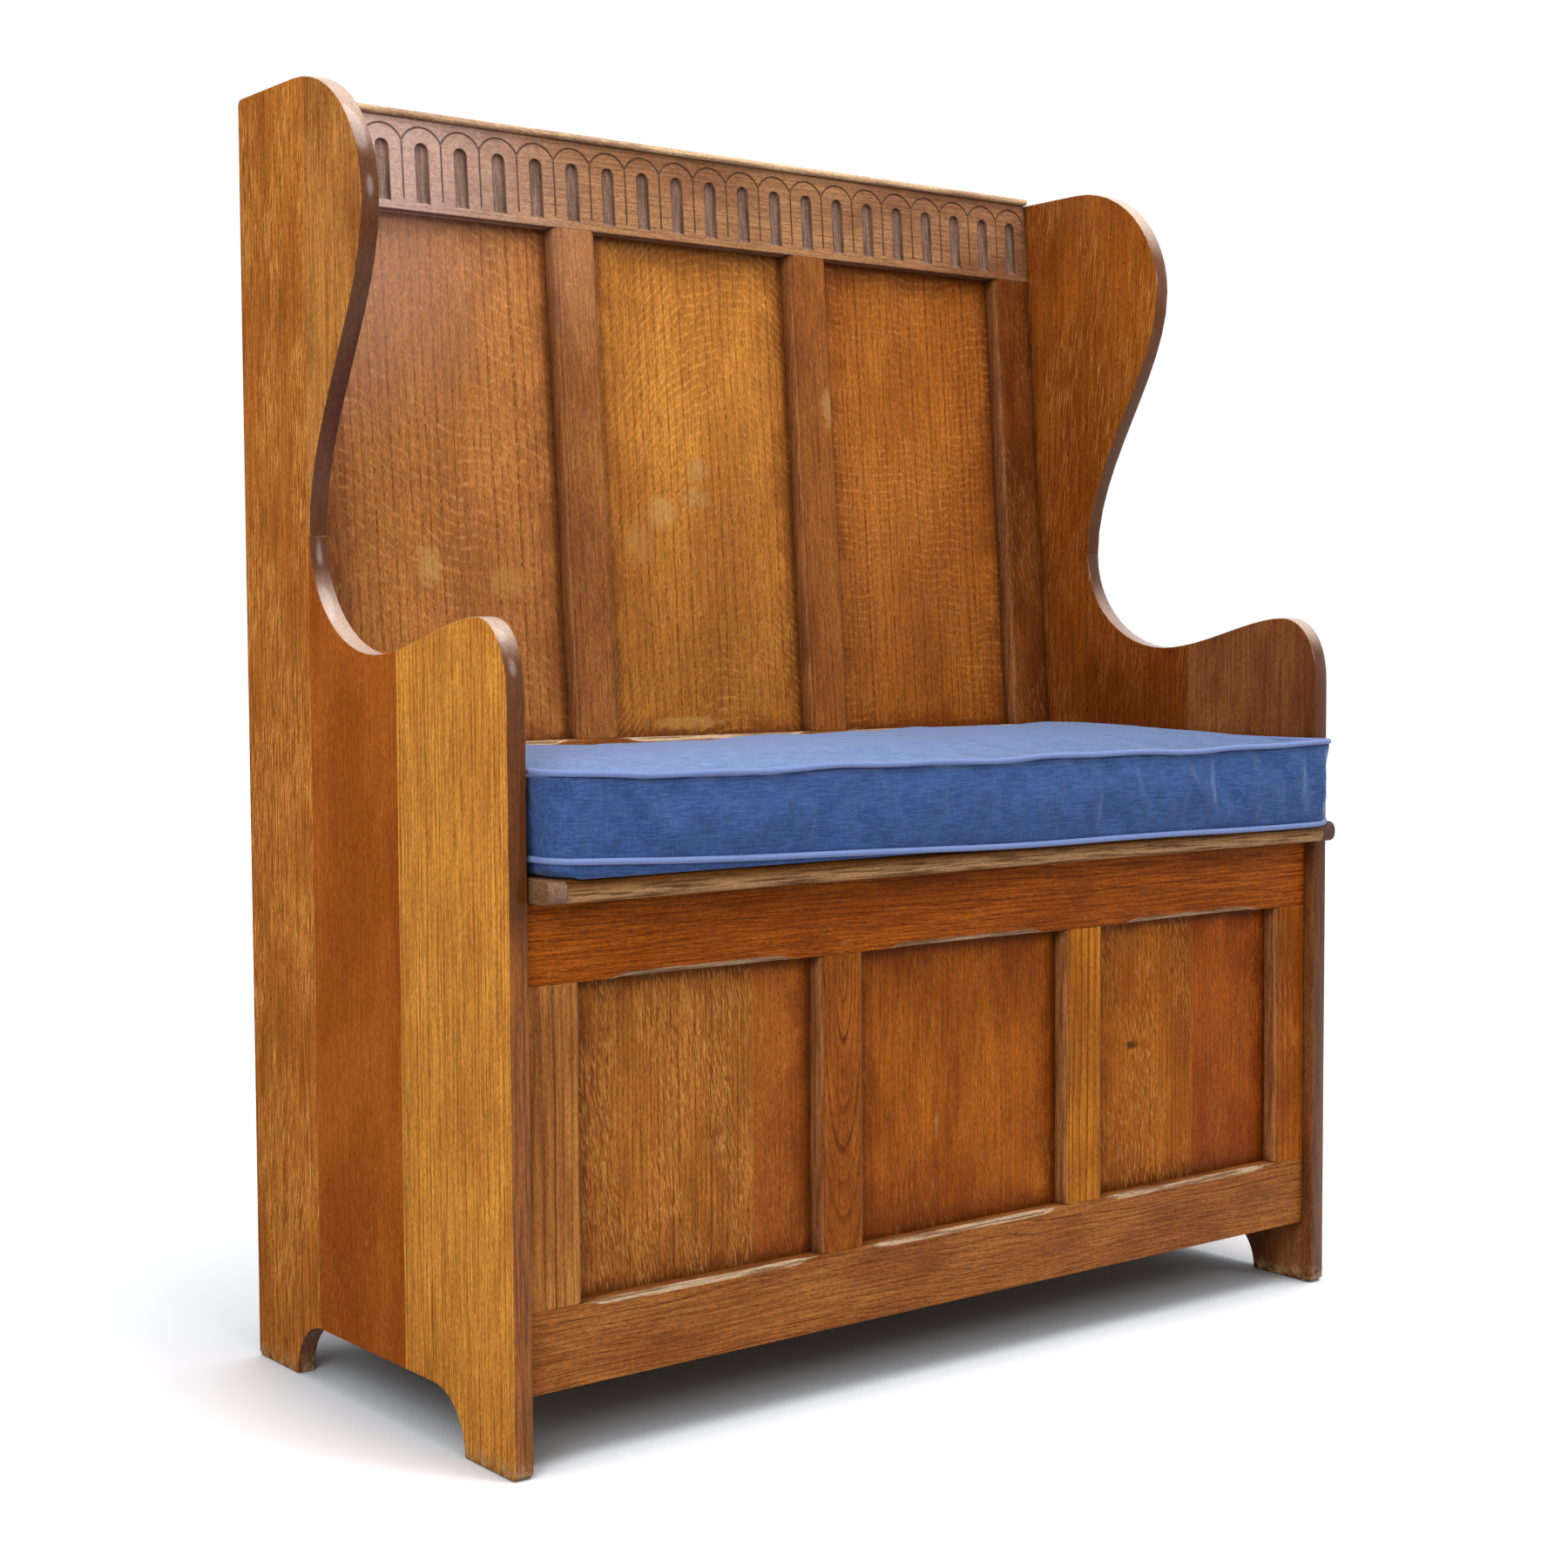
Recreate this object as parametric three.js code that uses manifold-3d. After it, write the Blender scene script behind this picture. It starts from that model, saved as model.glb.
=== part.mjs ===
// Oak box settle: two shaped side boards, a raked panelled back with a carved arcade frieze,
// a panelled storage box with a lifting lid, and a loose piped seat cushion.
// Millimetres. X runs along the bench, Y from the front to the back and Z up.
// The origin lies on the floor, midway between the ends and between the cushion's front and the rear.
import * as THREE from "three";
import { mergeVertices } from "three/addons/utils/BufferGeometryUtils.js";
import Module from "manifold-3d";

const wasm = await Module();
wasm.setup();

// Driving dimensions
const bench = { width: 960, jointGap: 0.2, restGap: 0.3, overrun: 5 };

const side = {
  thickness: 17.5,
  depth: 440,
  height: 1132.5,
  arris: 1.4,
  topCorner: 7,
  footLength: 76,
  footCorner: 4,
  archHeight: 49.5,
  archRadius: 48,
  armHeight: 669.5,
  armSetback: 45,
  noseDrop: 64.5,
  dipHeight: 640,
  dipWidth: 235,
  throatHeight: 742,
  throatWidth: 123.5,
  crownDrop: 116.5,
  wingWidth: 224.5,
  shoulderWidth: 105,
  seamWidth: 271,
  throatLand: 1.5,
  curveSteps: 12,
};
const outlineShares = {
  noseRise: 0.62,
  noseRun: 0.4,
  armRun: 0.28,
  dipRun: 0.34,
  throatRun: 0.52,
  throatDrop: 0.57,
  neckRise: 0.365,
  wingDrop: 0.32,
  shoulderRise: 0.52,
  shoulderRun: 0.585,
};

const front = {
  recess: 12,
  floorGap: 60.5,
  height: 388,
  thickness: 22,
  topRail: 66,
  bottomRail: 65.5,
  leftStile: 55.5,
  rightStile: 42.9,
  muntin: 48,
  panelRecess: 15.5,
};

const back = {
  rake: 4.13,
  seatRearGap: 71,
  thickness: 22,
  topRail: 85,
  bottomRail: 88,
  leftStile: 54.5,
  rightStile: 49.6,
  muntin: 48.9,
  panelRecess: 16,
};

const panelling = {
  panels: 3,
  panelThickness: 5,
  grooveDepth: 8,
  panelPlay: 0.3,
  ovolo: 4.2,
  quirk: 0.8,
  ovoloSteps: 4,
  chamfer: 4.4,
  upperStop: { left: 21, right: 21, length: 30 },
  lowerStop: { left: -4, right: 1, length: 34 },
  stopSteps: 5,
};
const stopShares = { start: 0.45, end: 0.55 };

const frieze = {
  pitch: 41.5,
  shiftShare: 0.58,
  fluteWidth: 14.6,
  fluteDepth: 4,
  fluteTop: 21.4,
  fluteBottom: 10.4,
  fluteRunOut: 4,
  archRise: 7.2,
  archRadius: 22.4,
  lineWidth: 2,
  lineDepth: 1.4,
  archSteps: 12,
  fluteSteps: 8,
};

const cap = { thickness: 6.5, overhang: 6 };

const lid = { thickness: 19.5, overhang: 27, endGap: 2, cleat: 17, frontBoard: 156, nose: 8, noseSteps: 5 };

const hingeRail = { width: 142, rearGap: 15, edgeGap: 0.6 };

const hinge = {
  endSetback: 150,
  length: 60,
  leafHeight: 15,
  leafThickness: 1.8,
  barrelRadius: 3.2,
  pinRadius: 1.5,
  pinClearance: 0.1,
  knuckles: 5,
  knuckleGap: 0.3,
  fitGap: 0.3,
  roundSteps: 16,
};

const box = {
  bearer: 20,
  floorThickness: 12,
  floorBoards: 3,
  boardGap: 0.5,
  backBoards: 3,
  backThickness: 12,
  rearGap: 27,
};

const cushion = {
  endGap: 2.5,
  overhang: 38,
  backGap: 3,
  height: 80,
  crown: 7,
  corner: 26,
  pipingRadius: 2.6,
  bulge: 3,
  drawIn: 6,
  hem: 9,
  reliefGap: 1,
};
const cushionShares = { lowerPiping: 0.14, bulge: 0.66, waist: 0.34, crownInsets: [0.12, 0.3, 0.55, 0.85] };
const cushionSteps = { corner: 5, long: 10, short: 5 };

// Sizes that follow
const innerWidth = bench.width - 2 * side.thickness;
const originSetback = (side.depth - cushion.overhang) / 2;
const throatSetback = side.depth - side.throatWidth;
const wingSetback = side.depth - side.wingWidth;
const shoulderSetback = side.depth - side.shoulderWidth;
const wingHeight = side.height - side.crownDrop;
const dipSetback = side.depth - side.dipWidth;
const frontSeam = side.depth - side.seamWidth;
const rearSeam = throatSetback + side.throatLand;
const boxTop = front.floorGap + front.height;
const lidBottom = boxTop + bench.restGap;
const lidTop = lidBottom + lid.thickness;
const rake = THREE.MathUtils.degToRad(back.rake);
const backBottom = lidTop + bench.jointGap;
const backHeight = (side.height - backBottom) / Math.cos(rake);
const seatSetback = side.depth - back.seatRearGap;
const backTopSetback = seatSetback + (side.height - backBottom) * Math.tan(rake);
const hingeSetback = side.depth - hingeRail.rearGap - hingeRail.width;
const grooveWidth = panelling.panelThickness + 2 * panelling.panelPlay;

// Materials
const oak = (color) => new THREE.MeshStandardMaterial({ color, roughness: 0.42, metalness: 0 });
const colours = {
  sideFront: "#b4711f",
  sideMiddle: "#96531c",
  sideRear: "#a5621f",
  frame: "#8a4a1a",
  panel: "#a05a1c",
  lid: "#8f5a24",
  hidden: "#8c6a43",
};
const brass = () => new THREE.MeshStandardMaterial({ color: "#9a7b3c", roughness: 0.4, metalness: 1 });
const cloth = () => new THREE.MeshStandardMaterial({ color: "#34508c", roughness: 0.95, metalness: 0 });

// Solids
function solidOf(geometry) {
  const bare = new THREE.BufferGeometry();
  bare.setAttribute("position", geometry.getAttribute("position"));
  if (geometry.index) bare.setIndex(geometry.index);
  const merged = mergeVertices(bare);
  return new wasm.Manifold(
    new wasm.Mesh({
      numProp: 3,
      vertProperties: merged.attributes.position.array,
      triVerts: new Uint32Array(merged.index.array),
    }),
  );
}

function geometryOf(solid) {
  const made = solid.getMesh();
  const geometry = new THREE.BufferGeometry();
  geometry.setAttribute("position", new THREE.BufferAttribute(made.vertProperties, 3));
  geometry.setIndex(new THREE.BufferAttribute(made.triVerts, 1));
  return geometry;
}

function cut(geometry, cutters) {
  const solid = cutters.reduce((rest, cutter) => rest.subtract(solidOf(cutter)), solidOf(geometry));
  return geometryOf(solid);
}

function join(geometries) {
  const solids = geometries.map(solidOf);
  return geometryOf(solids.reduce((whole, piece) => whole.add(piece)));
}

function keepBetween(geometry, [yFrom, yTo], [zFrom, zTo]) {
  const reach = 2 * side.thickness;
  const region = block([-reach, reach], [yFrom, yTo], [zFrom, zTo]);
  return geometryOf(solidOf(geometry).intersect(solidOf(region)));
}

function block([x0, x1], [y0, y1], [z0, z1]) {
  const geometry = new THREE.BoxGeometry(x1 - x0, y1 - y0, z1 - z0);
  return geometry.translate((x0 + x1) / 2, (y0 + y1) / 2, (z0 + z1) / 2);
}

function piece(name, geometry, material) {
  const flat = geometry.index ? geometry.toNonIndexed() : geometry;
  flat.computeVertexNormals();
  const mesh = new THREE.Mesh(flat, material);
  mesh.name = name;
  return mesh;
}

// A section drawn in Y and Z, run along X.
function runAlongX(section, x0, x1, options = {}) {
  const geometry = new THREE.ExtrudeGeometry(section, { depth: x1 - x0, bevelEnabled: false, ...options });
  const axes = new THREE.Matrix4().makeBasis(
    new THREE.Vector3(0, 1, 0),
    new THREE.Vector3(0, 0, 1),
    new THREE.Vector3(1, 0, 0),
  );
  return geometry.applyMatrix4(axes).translate(x0, 0, 0);
}

// A section drawn in X and Y, run along Z.
function runAlongZ(section, z0, z1) {
  const geometry = new THREE.ExtrudeGeometry(section, { depth: z1 - z0, bevelEnabled: false });
  return geometry.translate(0, 0, z0);
}

// An outline drawn in X and Z, cut into the face at Y = face.
function cutIntoFace(outline, face, depth, steps) {
  const geometry = new THREE.ExtrudeGeometry(outline, {
    depth: depth + bench.overrun,
    bevelEnabled: false,
    curveSegments: steps,
  });
  return geometry.rotateX(Math.PI / 2).translate(0, face + depth, 0);
}

function polygon(points) {
  return new THREE.Shape(points.map(([a, b]) => new THREE.Vector2(a, b)));
}

// Side boards: the outline runs from the front foot up the front edge, over the arm and the wing.
function sideOutline() {
  const shares = outlineShares;
  const outline = new THREE.Shape();
  const noseStart = side.armHeight - side.noseDrop;
  const dipRun = dipSetback - side.armSetback;
  const throatRun = throatSetback - dipSetback;
  const throatRise = side.throatHeight - side.dipHeight;
  const neck = wingHeight - side.throatHeight;
  const crownRise = side.height - wingHeight;
  const crownRun = shoulderSetback - wingSetback;
  outline.moveTo(0, side.footCorner);
  outline.lineTo(0, noseStart);
  outline.bezierCurveTo(
    ...[0, noseStart + side.noseDrop * shares.noseRise],
    ...[side.armSetback * shares.noseRun, side.armHeight],
    ...[side.armSetback, side.armHeight],
  );
  outline.bezierCurveTo(
    ...[side.armSetback + dipRun * shares.armRun, side.armHeight],
    ...[dipSetback - dipRun * shares.dipRun, side.dipHeight],
    ...[dipSetback, side.dipHeight],
  );
  outline.bezierCurveTo(
    ...[dipSetback + throatRun * shares.throatRun, side.dipHeight],
    ...[throatSetback, side.throatHeight - throatRise * shares.throatDrop],
    ...[throatSetback, side.throatHeight],
  );
  outline.bezierCurveTo(
    ...[throatSetback, side.throatHeight + neck * shares.neckRise],
    ...[wingSetback, wingHeight - neck * shares.wingDrop],
    ...[wingSetback, wingHeight],
  );
  outline.bezierCurveTo(
    ...[wingSetback, wingHeight + crownRise * shares.shoulderRise],
    ...[shoulderSetback - crownRun * shares.shoulderRun, side.height],
    ...[shoulderSetback, side.height],
  );
  outline.lineTo(side.depth - side.topCorner, side.height);
  outline.quadraticCurveTo(side.depth, side.height, side.depth, side.height - side.topCorner);
  outline.lineTo(side.depth, side.footCorner);
  outline.lineTo(side.depth - side.footCorner, 0);
  archOutline(outline);
  outline.lineTo(side.footCorner, 0);
  return outline;
}

// The foot arch, from the rear foot to the front one.
function archOutline(outline) {
  const rear = side.depth - side.footLength;
  const frontEnd = side.footLength;
  const radius = side.archRadius;
  const sweep = Math.PI / 2;
  const spring = side.archHeight - radius;
  outline.lineTo(rear, 0);
  outline.lineTo(rear, spring);
  outline.absarc(rear - radius, spring, radius, 0, sweep, false);
  outline.absarc(frontEnd + radius, spring, radius, sweep, 2 * sweep, false);
  outline.lineTo(frontEnd, 0);
}

// Each side is glued up from a front, a middle and a rear board; the wing is sawn out of a fourth.
function sideBoards(name, x) {
  const whole = runAlongX(sideOutline(), side.arris, side.thickness - side.arris, {
    bevelEnabled: true,
    bevelThickness: side.arris,
    bevelSize: side.arris,
    bevelOffset: -side.arris,
    bevelSegments: 2,
    curveSegments: side.curveSteps,
  });
  const below = -bench.overrun;
  const above = side.height + bench.overrun;
  const frontEdge = -bench.overrun;
  const rearEdge = side.depth + bench.overrun;
  const boards = [
    ["front_board", [frontEdge, frontSeam], [below, above], colours.sideFront],
    ["middle_board", [frontSeam, rearSeam], [below, side.throatHeight], colours.sideMiddle],
    ["wing_board", [frontEdge, rearSeam], [side.throatHeight, above], colours.sideMiddle],
    ["rear_board", [rearSeam, rearEdge], [below, above], colours.sideRear],
  ];
  const group = new THREE.Group();
  for (const [board, alongY, alongZ, colour] of boards)
    group.add(piece(name + "_" + board, keepBetween(whole, alongY, alongZ), oak(colour)));
  group.position.x = x;
  return group;
}

// Panelled frames: X from the middle, Y back from the front face, Z up from the bottom edge.
// The lean bevels the rails' outer edges, so that a raked frame ends level.
function bayEdges(frame) {
  const clear = innerWidth - frame.leftStile - frame.rightStile - (panelling.panels - 1) * frame.muntin;
  const width = clear / panelling.panels;
  const first = -innerWidth / 2 + frame.leftStile;
  return Array.from({ length: panelling.panels }, (_, i) => {
    const left = first + i * (width + frame.muntin);
    return [left, left + width];
  });
}

function railSection(frame, bottom, top, grooveAtTop, lean) {
  const grooveFront = frame.panelRecess - panelling.panelPlay;
  const grooveBack = grooveFront + grooveWidth;
  const rise = frame.thickness * lean;
  if (grooveAtTop)
    return polygon([
      [0, bottom],
      [frame.thickness, bottom + rise],
      [frame.thickness, top],
      [grooveBack, top],
      [grooveBack, top - panelling.grooveDepth],
      [grooveFront, top - panelling.grooveDepth],
      [grooveFront, top],
      [0, top],
    ]);
  return polygon([
    [0, bottom],
    [grooveFront, bottom],
    [grooveFront, bottom + panelling.grooveDepth],
    [grooveBack, bottom + panelling.grooveDepth],
    [grooveBack, bottom],
    [frame.thickness, bottom],
    [frame.thickness, top + rise],
    [0, top],
  ]);
}

// A chamfer along an arris at height z, which runs out in a lamb's tongue near each bay's ends;
// turn is 1 for a rail's upper arris and -1 for a lower one.
function stopChamfers(frame, z, turn, stop) {
  const depth = panelling.chamfer / Math.SQRT2;
  const reach = 2 * panelling.chamfer;
  return bayEdges(frame).map(([left, right]) => {
    const from = left + stop.left;
    const to = right - stop.right;
    const early = stop.length * stopShares.start;
    const late = stop.length * stopShares.end;
    const outline = new THREE.Shape();
    outline.moveTo(from, 0);
    outline.bezierCurveTo(from + late, 0, from + early, depth, from + stop.length, depth);
    outline.lineTo(to - stop.length, depth);
    outline.bezierCurveTo(to - early, depth, to - late, 0, to, 0);
    outline.lineTo(to, -reach);
    outline.lineTo(from, -reach);
    const cutter = new THREE.ExtrudeGeometry(outline, {
      depth: 2 * reach,
      bevelEnabled: false,
      curveSegments: panelling.stopSteps,
    });
    cutter.translate(0, 0, -reach);
    return cutter.rotateX((-turn * Math.PI) / 4).translate(0, 0, z);
  });
}

// An ovolo with a quirk along an upright's arris, from the face in to the edge; inward is 1 on a left edge.
function ovoloEdge(edge, inward) {
  const radius = panelling.ovolo;
  const centre = [edge + inward * radius, panelling.quirk + radius];
  const points = [[centre[0], 0]];
  for (let i = 0; i <= panelling.ovoloSteps; i++) {
    const angle = ((i / panelling.ovoloSteps) * Math.PI) / 2;
    points.push([centre[0] - inward * radius * Math.sin(angle), centre[1] - radius * Math.cos(angle)]);
  }
  return points;
}

function uprightSection(frame, left, right, grooveLeft, grooveRight) {
  const grooveFront = frame.panelRecess - panelling.panelPlay;
  const grooveBack = grooveFront + grooveWidth;
  const points = [];
  if (grooveLeft)
    points.push(
      ...ovoloEdge(left, 1),
      [left, grooveFront],
      [left + panelling.grooveDepth, grooveFront],
      [left + panelling.grooveDepth, grooveBack],
      [left, grooveBack],
    );
  else points.push([left, 0]);
  points.push([left, frame.thickness], [right, frame.thickness]);
  if (grooveRight)
    points.push(
      [right, grooveBack],
      [right - panelling.grooveDepth, grooveBack],
      [right - panelling.grooveDepth, grooveFront],
      [right, grooveFront],
      ...ovoloEdge(right, -1).reverse(),
    );
  else points.push([right, 0]);
  return polygon(points.reverse());
}

// A stile or muntin between the rails, with stub tenons in the rails' grooves.
function upright(frame, left, right, bottom, top, grooves) {
  const gap = bench.jointGap;
  const stub = panelling.grooveDepth - gap;
  const tenonFront = frame.panelRecess - panelling.panelPlay + gap;
  const tenonLeft = grooves[0] ? left + panelling.grooveDepth : left;
  const tenonRight = grooves[1] ? right - panelling.grooveDepth : right;
  const body = runAlongZ(uprightSection(frame, left, right, ...grooves), bottom + gap, top - gap);
  const tenon = block(
    [tenonLeft, tenonRight],
    [tenonFront, tenonFront + grooveWidth - 2 * gap],
    [bottom - stub, top + stub],
  );
  return join([body, tenon]);
}

function framePanel(frame, [left, right], bottom, top) {
  const hold = panelling.grooveDepth - panelling.panelPlay;
  return block(
    [left - hold, right + hold],
    [frame.panelRecess, frame.panelRecess + panelling.panelThickness],
    [bottom + 2 * panelling.panelPlay - hold, top - 2 * panelling.panelPlay + hold],
  );
}

function panelledFrame(name, frame, height, lean, cuts) {
  const end = innerWidth / 2 - bench.jointGap;
  const opening = [frame.bottomRail, height - frame.topRail];
  const bays = bayEdges(frame);
  const bottomRail = runAlongX(railSection(frame, 0, opening[0], true, lean), -end, end);
  const topRail = runAlongX(railSection(frame, opening[1], height, false, lean), -end, end);
  const group = new THREE.Group();
  group.add(
    piece(name + "_bottom_rail", cut(bottomRail, cuts.bottomRail), oak(colours.frame)),
    piece(name + "_top_rail", cut(topRail, cuts.topRail), oak(colours.frame)),
  );
  const edges = [-end, ...bays.flat(), end];
  const names = ["left_stile", ...bays.slice(1).map((_, i) => "muntin_" + (i + 1)), "right_stile"];
  names.forEach((part, i) => {
    const grooves = [i > 0, i < names.length - 1];
    const solid = upright(frame, edges[2 * i], edges[2 * i + 1], ...opening, grooves);
    group.add(piece(name + "_" + part, solid, oak(colours.frame)));
  });
  bays.forEach((bay, i) => {
    group.add(piece(name + "_panel_" + (i + 1), framePanel(frame, bay, ...opening), oak(colours.panel)));
  });
  return group;
}

function boxFront() {
  const group = panelledFrame("front", front, front.height, 0, {
    bottomRail: stopChamfers(front, front.bottomRail, 1, panelling.lowerStop),
    topRail: stopChamfers(front, front.height - front.topRail, -1, panelling.upperStop),
  });
  group.position.set(0, front.recess, front.floorGap);
  return group;
}

// The carved frieze: round-headed flutes, each under an arch line that its neighbours share.
function fluteOutline(x, bottom, top) {
  const half = frieze.fluteWidth / 2;
  const outline = new THREE.Shape();
  outline.moveTo(x - half, bottom);
  outline.lineTo(x + half, bottom);
  outline.lineTo(x + half, top - half);
  outline.absarc(x, top - half, half, 0, Math.PI, false);
  return outline;
}

function fluteRunOut(x, bottom) {
  const half = frieze.fluteWidth / 2;
  const slope = polygon([
    [-bench.overrun, bottom],
    [-bench.overrun, bottom - frieze.fluteRunOut],
    [0, bottom - frieze.fluteRunOut],
    [frieze.fluteDepth, bottom],
  ]);
  return runAlongX(slope, x - half, x + half);
}

function archLine(x, bottom, top) {
  const halfLine = frieze.lineWidth / 2;
  const centre = top - frieze.archRadius;
  const halfPitch = frieze.pitch / 2;
  const outer = archEdge(halfPitch + halfLine, frieze.archRadius + halfLine);
  const inner = archEdge(halfPitch - halfLine, frieze.archRadius - halfLine);
  const outline = new THREE.Shape();
  outline.moveTo(x + outer.half, bottom);
  outline.lineTo(x + outer.half, centre + outer.rise);
  outline.absarc(x, centre, outer.radius, outer.angle, Math.PI - outer.angle, false);
  outline.lineTo(x - outer.half, bottom);
  outline.lineTo(x - inner.half, bottom);
  outline.lineTo(x - inner.half, centre + inner.rise);
  outline.absarc(x, centre, inner.radius, Math.PI - inner.angle, inner.angle, true);
  outline.lineTo(x + inner.half, bottom);
  return outline;
}

// Where an arc of this radius meets the upright line at half, left or right of its centre.
function archEdge(half, radius) {
  const angle = Math.acos(Math.min(half / radius, 1));
  return { half: Math.min(half, radius), radius, angle, rise: radius * Math.sin(angle) };
}

function friezeCuts(height) {
  const bottom = height - back.topRail + frieze.fluteBottom;
  const fluteTop = height - frieze.fluteTop;
  const archTop = height - frieze.archRise;
  const count = Math.floor(innerWidth / frieze.pitch);
  const spare = innerWidth - count * frieze.pitch;
  const first = -innerWidth / 2 + (spare * (1 + frieze.shiftShare)) / 2 + frieze.pitch / 2;
  const cuts = [];
  for (let i = 0; i < count; i++) {
    const x = first + i * frieze.pitch;
    cuts.push(
      cutIntoFace(fluteOutline(x, bottom, fluteTop), 0, frieze.fluteDepth, frieze.fluteSteps),
      fluteRunOut(x, bottom),
      cutIntoFace(archLine(x, bottom, archTop), 0, frieze.lineDepth, frieze.archSteps),
    );
  }
  return cuts;
}

function rakedBack() {
  const group = panelledFrame("back", back, backHeight, Math.tan(rake), {
    bottomRail: stopChamfers(back, back.bottomRail, 1, panelling.lowerStop),
    topRail: friezeCuts(backHeight),
  });
  group.rotation.x = -rake;
  group.position.set(0, seatSetback, backBottom);
  return group;
}

// A level capping on the back's top rail, with a rounded front edge.
function backCap() {
  const end = innerWidth / 2 - bench.jointGap;
  const frontEdge = backTopSetback - cap.overhang;
  const bottom = side.height + bench.jointGap;
  const top = bottom + cap.thickness;
  const round = cap.thickness / 2;
  const section = new THREE.Shape();
  section.moveTo(side.depth, bottom);
  section.lineTo(side.depth, top);
  section.lineTo(frontEdge + round, top);
  section.absarc(frontEdge + round, top - round, round, Math.PI / 2, (3 * Math.PI) / 2, false);
  section.closePath();
  const strip = runAlongX(section, -end, end, { curveSegments: lid.noseSteps });
  return piece("back_cap", strip, oak(colours.lid));
}

// Lid: two boards between breadboard cleats, all with a rounded nose.
function noseSection(frontEdge, rearEdge) {
  const nose = lid.nose;
  const section = new THREE.Shape();
  section.moveTo(rearEdge, lidBottom);
  section.lineTo(rearEdge, lidTop);
  section.lineTo(frontEdge + nose, lidTop);
  section.absarc(frontEdge + nose, lidTop - nose, nose, Math.PI / 2, Math.PI, false);
  section.absarc(frontEdge + nose, lidBottom + nose, nose, Math.PI, (3 * Math.PI) / 2, false);
  section.closePath();
  return section;
}

function seatLid() {
  const end = innerWidth / 2 - lid.endGap;
  const boardEnd = end - lid.cleat - bench.jointGap;
  const rear = hingeSetback - hingeRail.edgeGap;
  const seam = lid.frontBoard - lid.overhang;
  const nosed = (rearEdge, x0, x1) =>
    runAlongX(noseSection(-lid.overhang, rearEdge), x0, x1, { curveSegments: lid.noseSteps });
  const rearBoard = block([-boardEnd, boardEnd], [seam + bench.jointGap, rear], [lidBottom, lidTop]);
  const group = new THREE.Group();
  group.add(
    piece("lid_front_board", nosed(seam, -boardEnd, boardEnd), oak(colours.lid)),
    piece("lid_rear_board", cut(rearBoard, hingeHousings(-1)), oak(colours.lid)),
    piece("lid_left_cleat", nosed(rear, -end, -end + lid.cleat), oak(colours.lid)),
    piece("lid_right_cleat", nosed(rear, end - lid.cleat, end), oak(colours.lid)),
  );
  return group;
}

function hingeRailBoard() {
  const end = innerWidth / 2 - bench.jointGap;
  const rail = block(
    [-end, end],
    [hingeSetback + hingeRail.edgeGap, side.depth - hingeRail.rearGap],
    [lidBottom, lidTop],
  );
  return piece("hinge_rail", cut(rail, hingeHousings(1)), oak(colours.lid));
}

// Butt hinges, on an axis at the lid's top rear arris; facing is -1 on the lid and 1 on the rail.
function hingeCentres() {
  const x = innerWidth / 2 - hinge.endSetback;
  return [-x, x];
}

function round(radius, x0, x1) {
  const geometry = new THREE.CylinderGeometry(radius, radius, x1 - x0, hinge.roundSteps);
  return geometry.rotateZ(Math.PI / 2).translate((x0 + x1) / 2, hingeSetback, lidTop);
}

function leafSpan(facing, extra) {
  const near = hingeSetback + facing * (hingeRail.edgeGap - bench.restGap);
  const far = near + facing * (hinge.leafThickness + extra);
  return [Math.min(near, far), Math.max(near, far)];
}

function hingeHousings(facing) {
  const half = hinge.length / 2 + hinge.fitGap;
  const housing = (x) =>
    block(
      [x - half, x + half],
      leafSpan(facing, bench.restGap),
      [lidTop - hinge.leafHeight - hinge.fitGap, lidTop + bench.overrun],
    );
  const barrel = (x) => round(hinge.barrelRadius + hinge.fitGap, x - half, x + half);
  return hingeCentres().flatMap((x) => [housing(x), barrel(x)]);
}

function hingeLeaf(name, x, facing) {
  const start = x - hinge.length / 2;
  const pitch = hinge.length / hinge.knuckles;
  const knuckle = (i) =>
    round(
      hinge.barrelRadius,
      start + i * pitch + hinge.knuckleGap / 2,
      start + (i + 1) * pitch - hinge.knuckleGap / 2,
    );
  const own = [...Array(hinge.knuckles).keys()].filter((i) => (i % 2 === 0) === (facing > 0));
  const others = [...Array(hinge.knuckles).keys()].filter((i) => !own.includes(i));
  const alongZ = [lidTop - hinge.leafHeight, lidTop];
  const leaf = block([start, start + hinge.length], leafSpan(facing, 0), alongZ);
  const room = (i) => {
    const from = i === 0 ? -bench.overrun : 0;
    const to = i === hinge.knuckles - 1 ? bench.overrun : 0;
    const x0 = start + i * pitch + from - hinge.knuckleGap / 2;
    const x1 = start + (i + 1) * pitch + to + hinge.knuckleGap / 2;
    return round(hinge.barrelRadius + hinge.fitGap, x0, x1);
  };
  const bore = round(
    hinge.pinRadius + hinge.pinClearance,
    start - bench.overrun,
    start + hinge.length + bench.overrun,
  );
  const notched = cut(leaf, others.map(room));
  return piece(name, cut(join([notched, ...own.map(knuckle)]), [bore]), brass());
}

function hinges() {
  const group = new THREE.Group();
  hingeCentres().forEach((x, i) => {
    const name = "hinge_" + (i + 1);
    group.add(
      hingeLeaf(name + "_lid_leaf", x, -1),
      hingeLeaf(name + "_rail_leaf", x, 1),
      piece(name + "_pin", round(hinge.pinRadius, x - hinge.length / 2, x + hinge.length / 2), brass()),
    );
  });
  return group;
}

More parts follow.
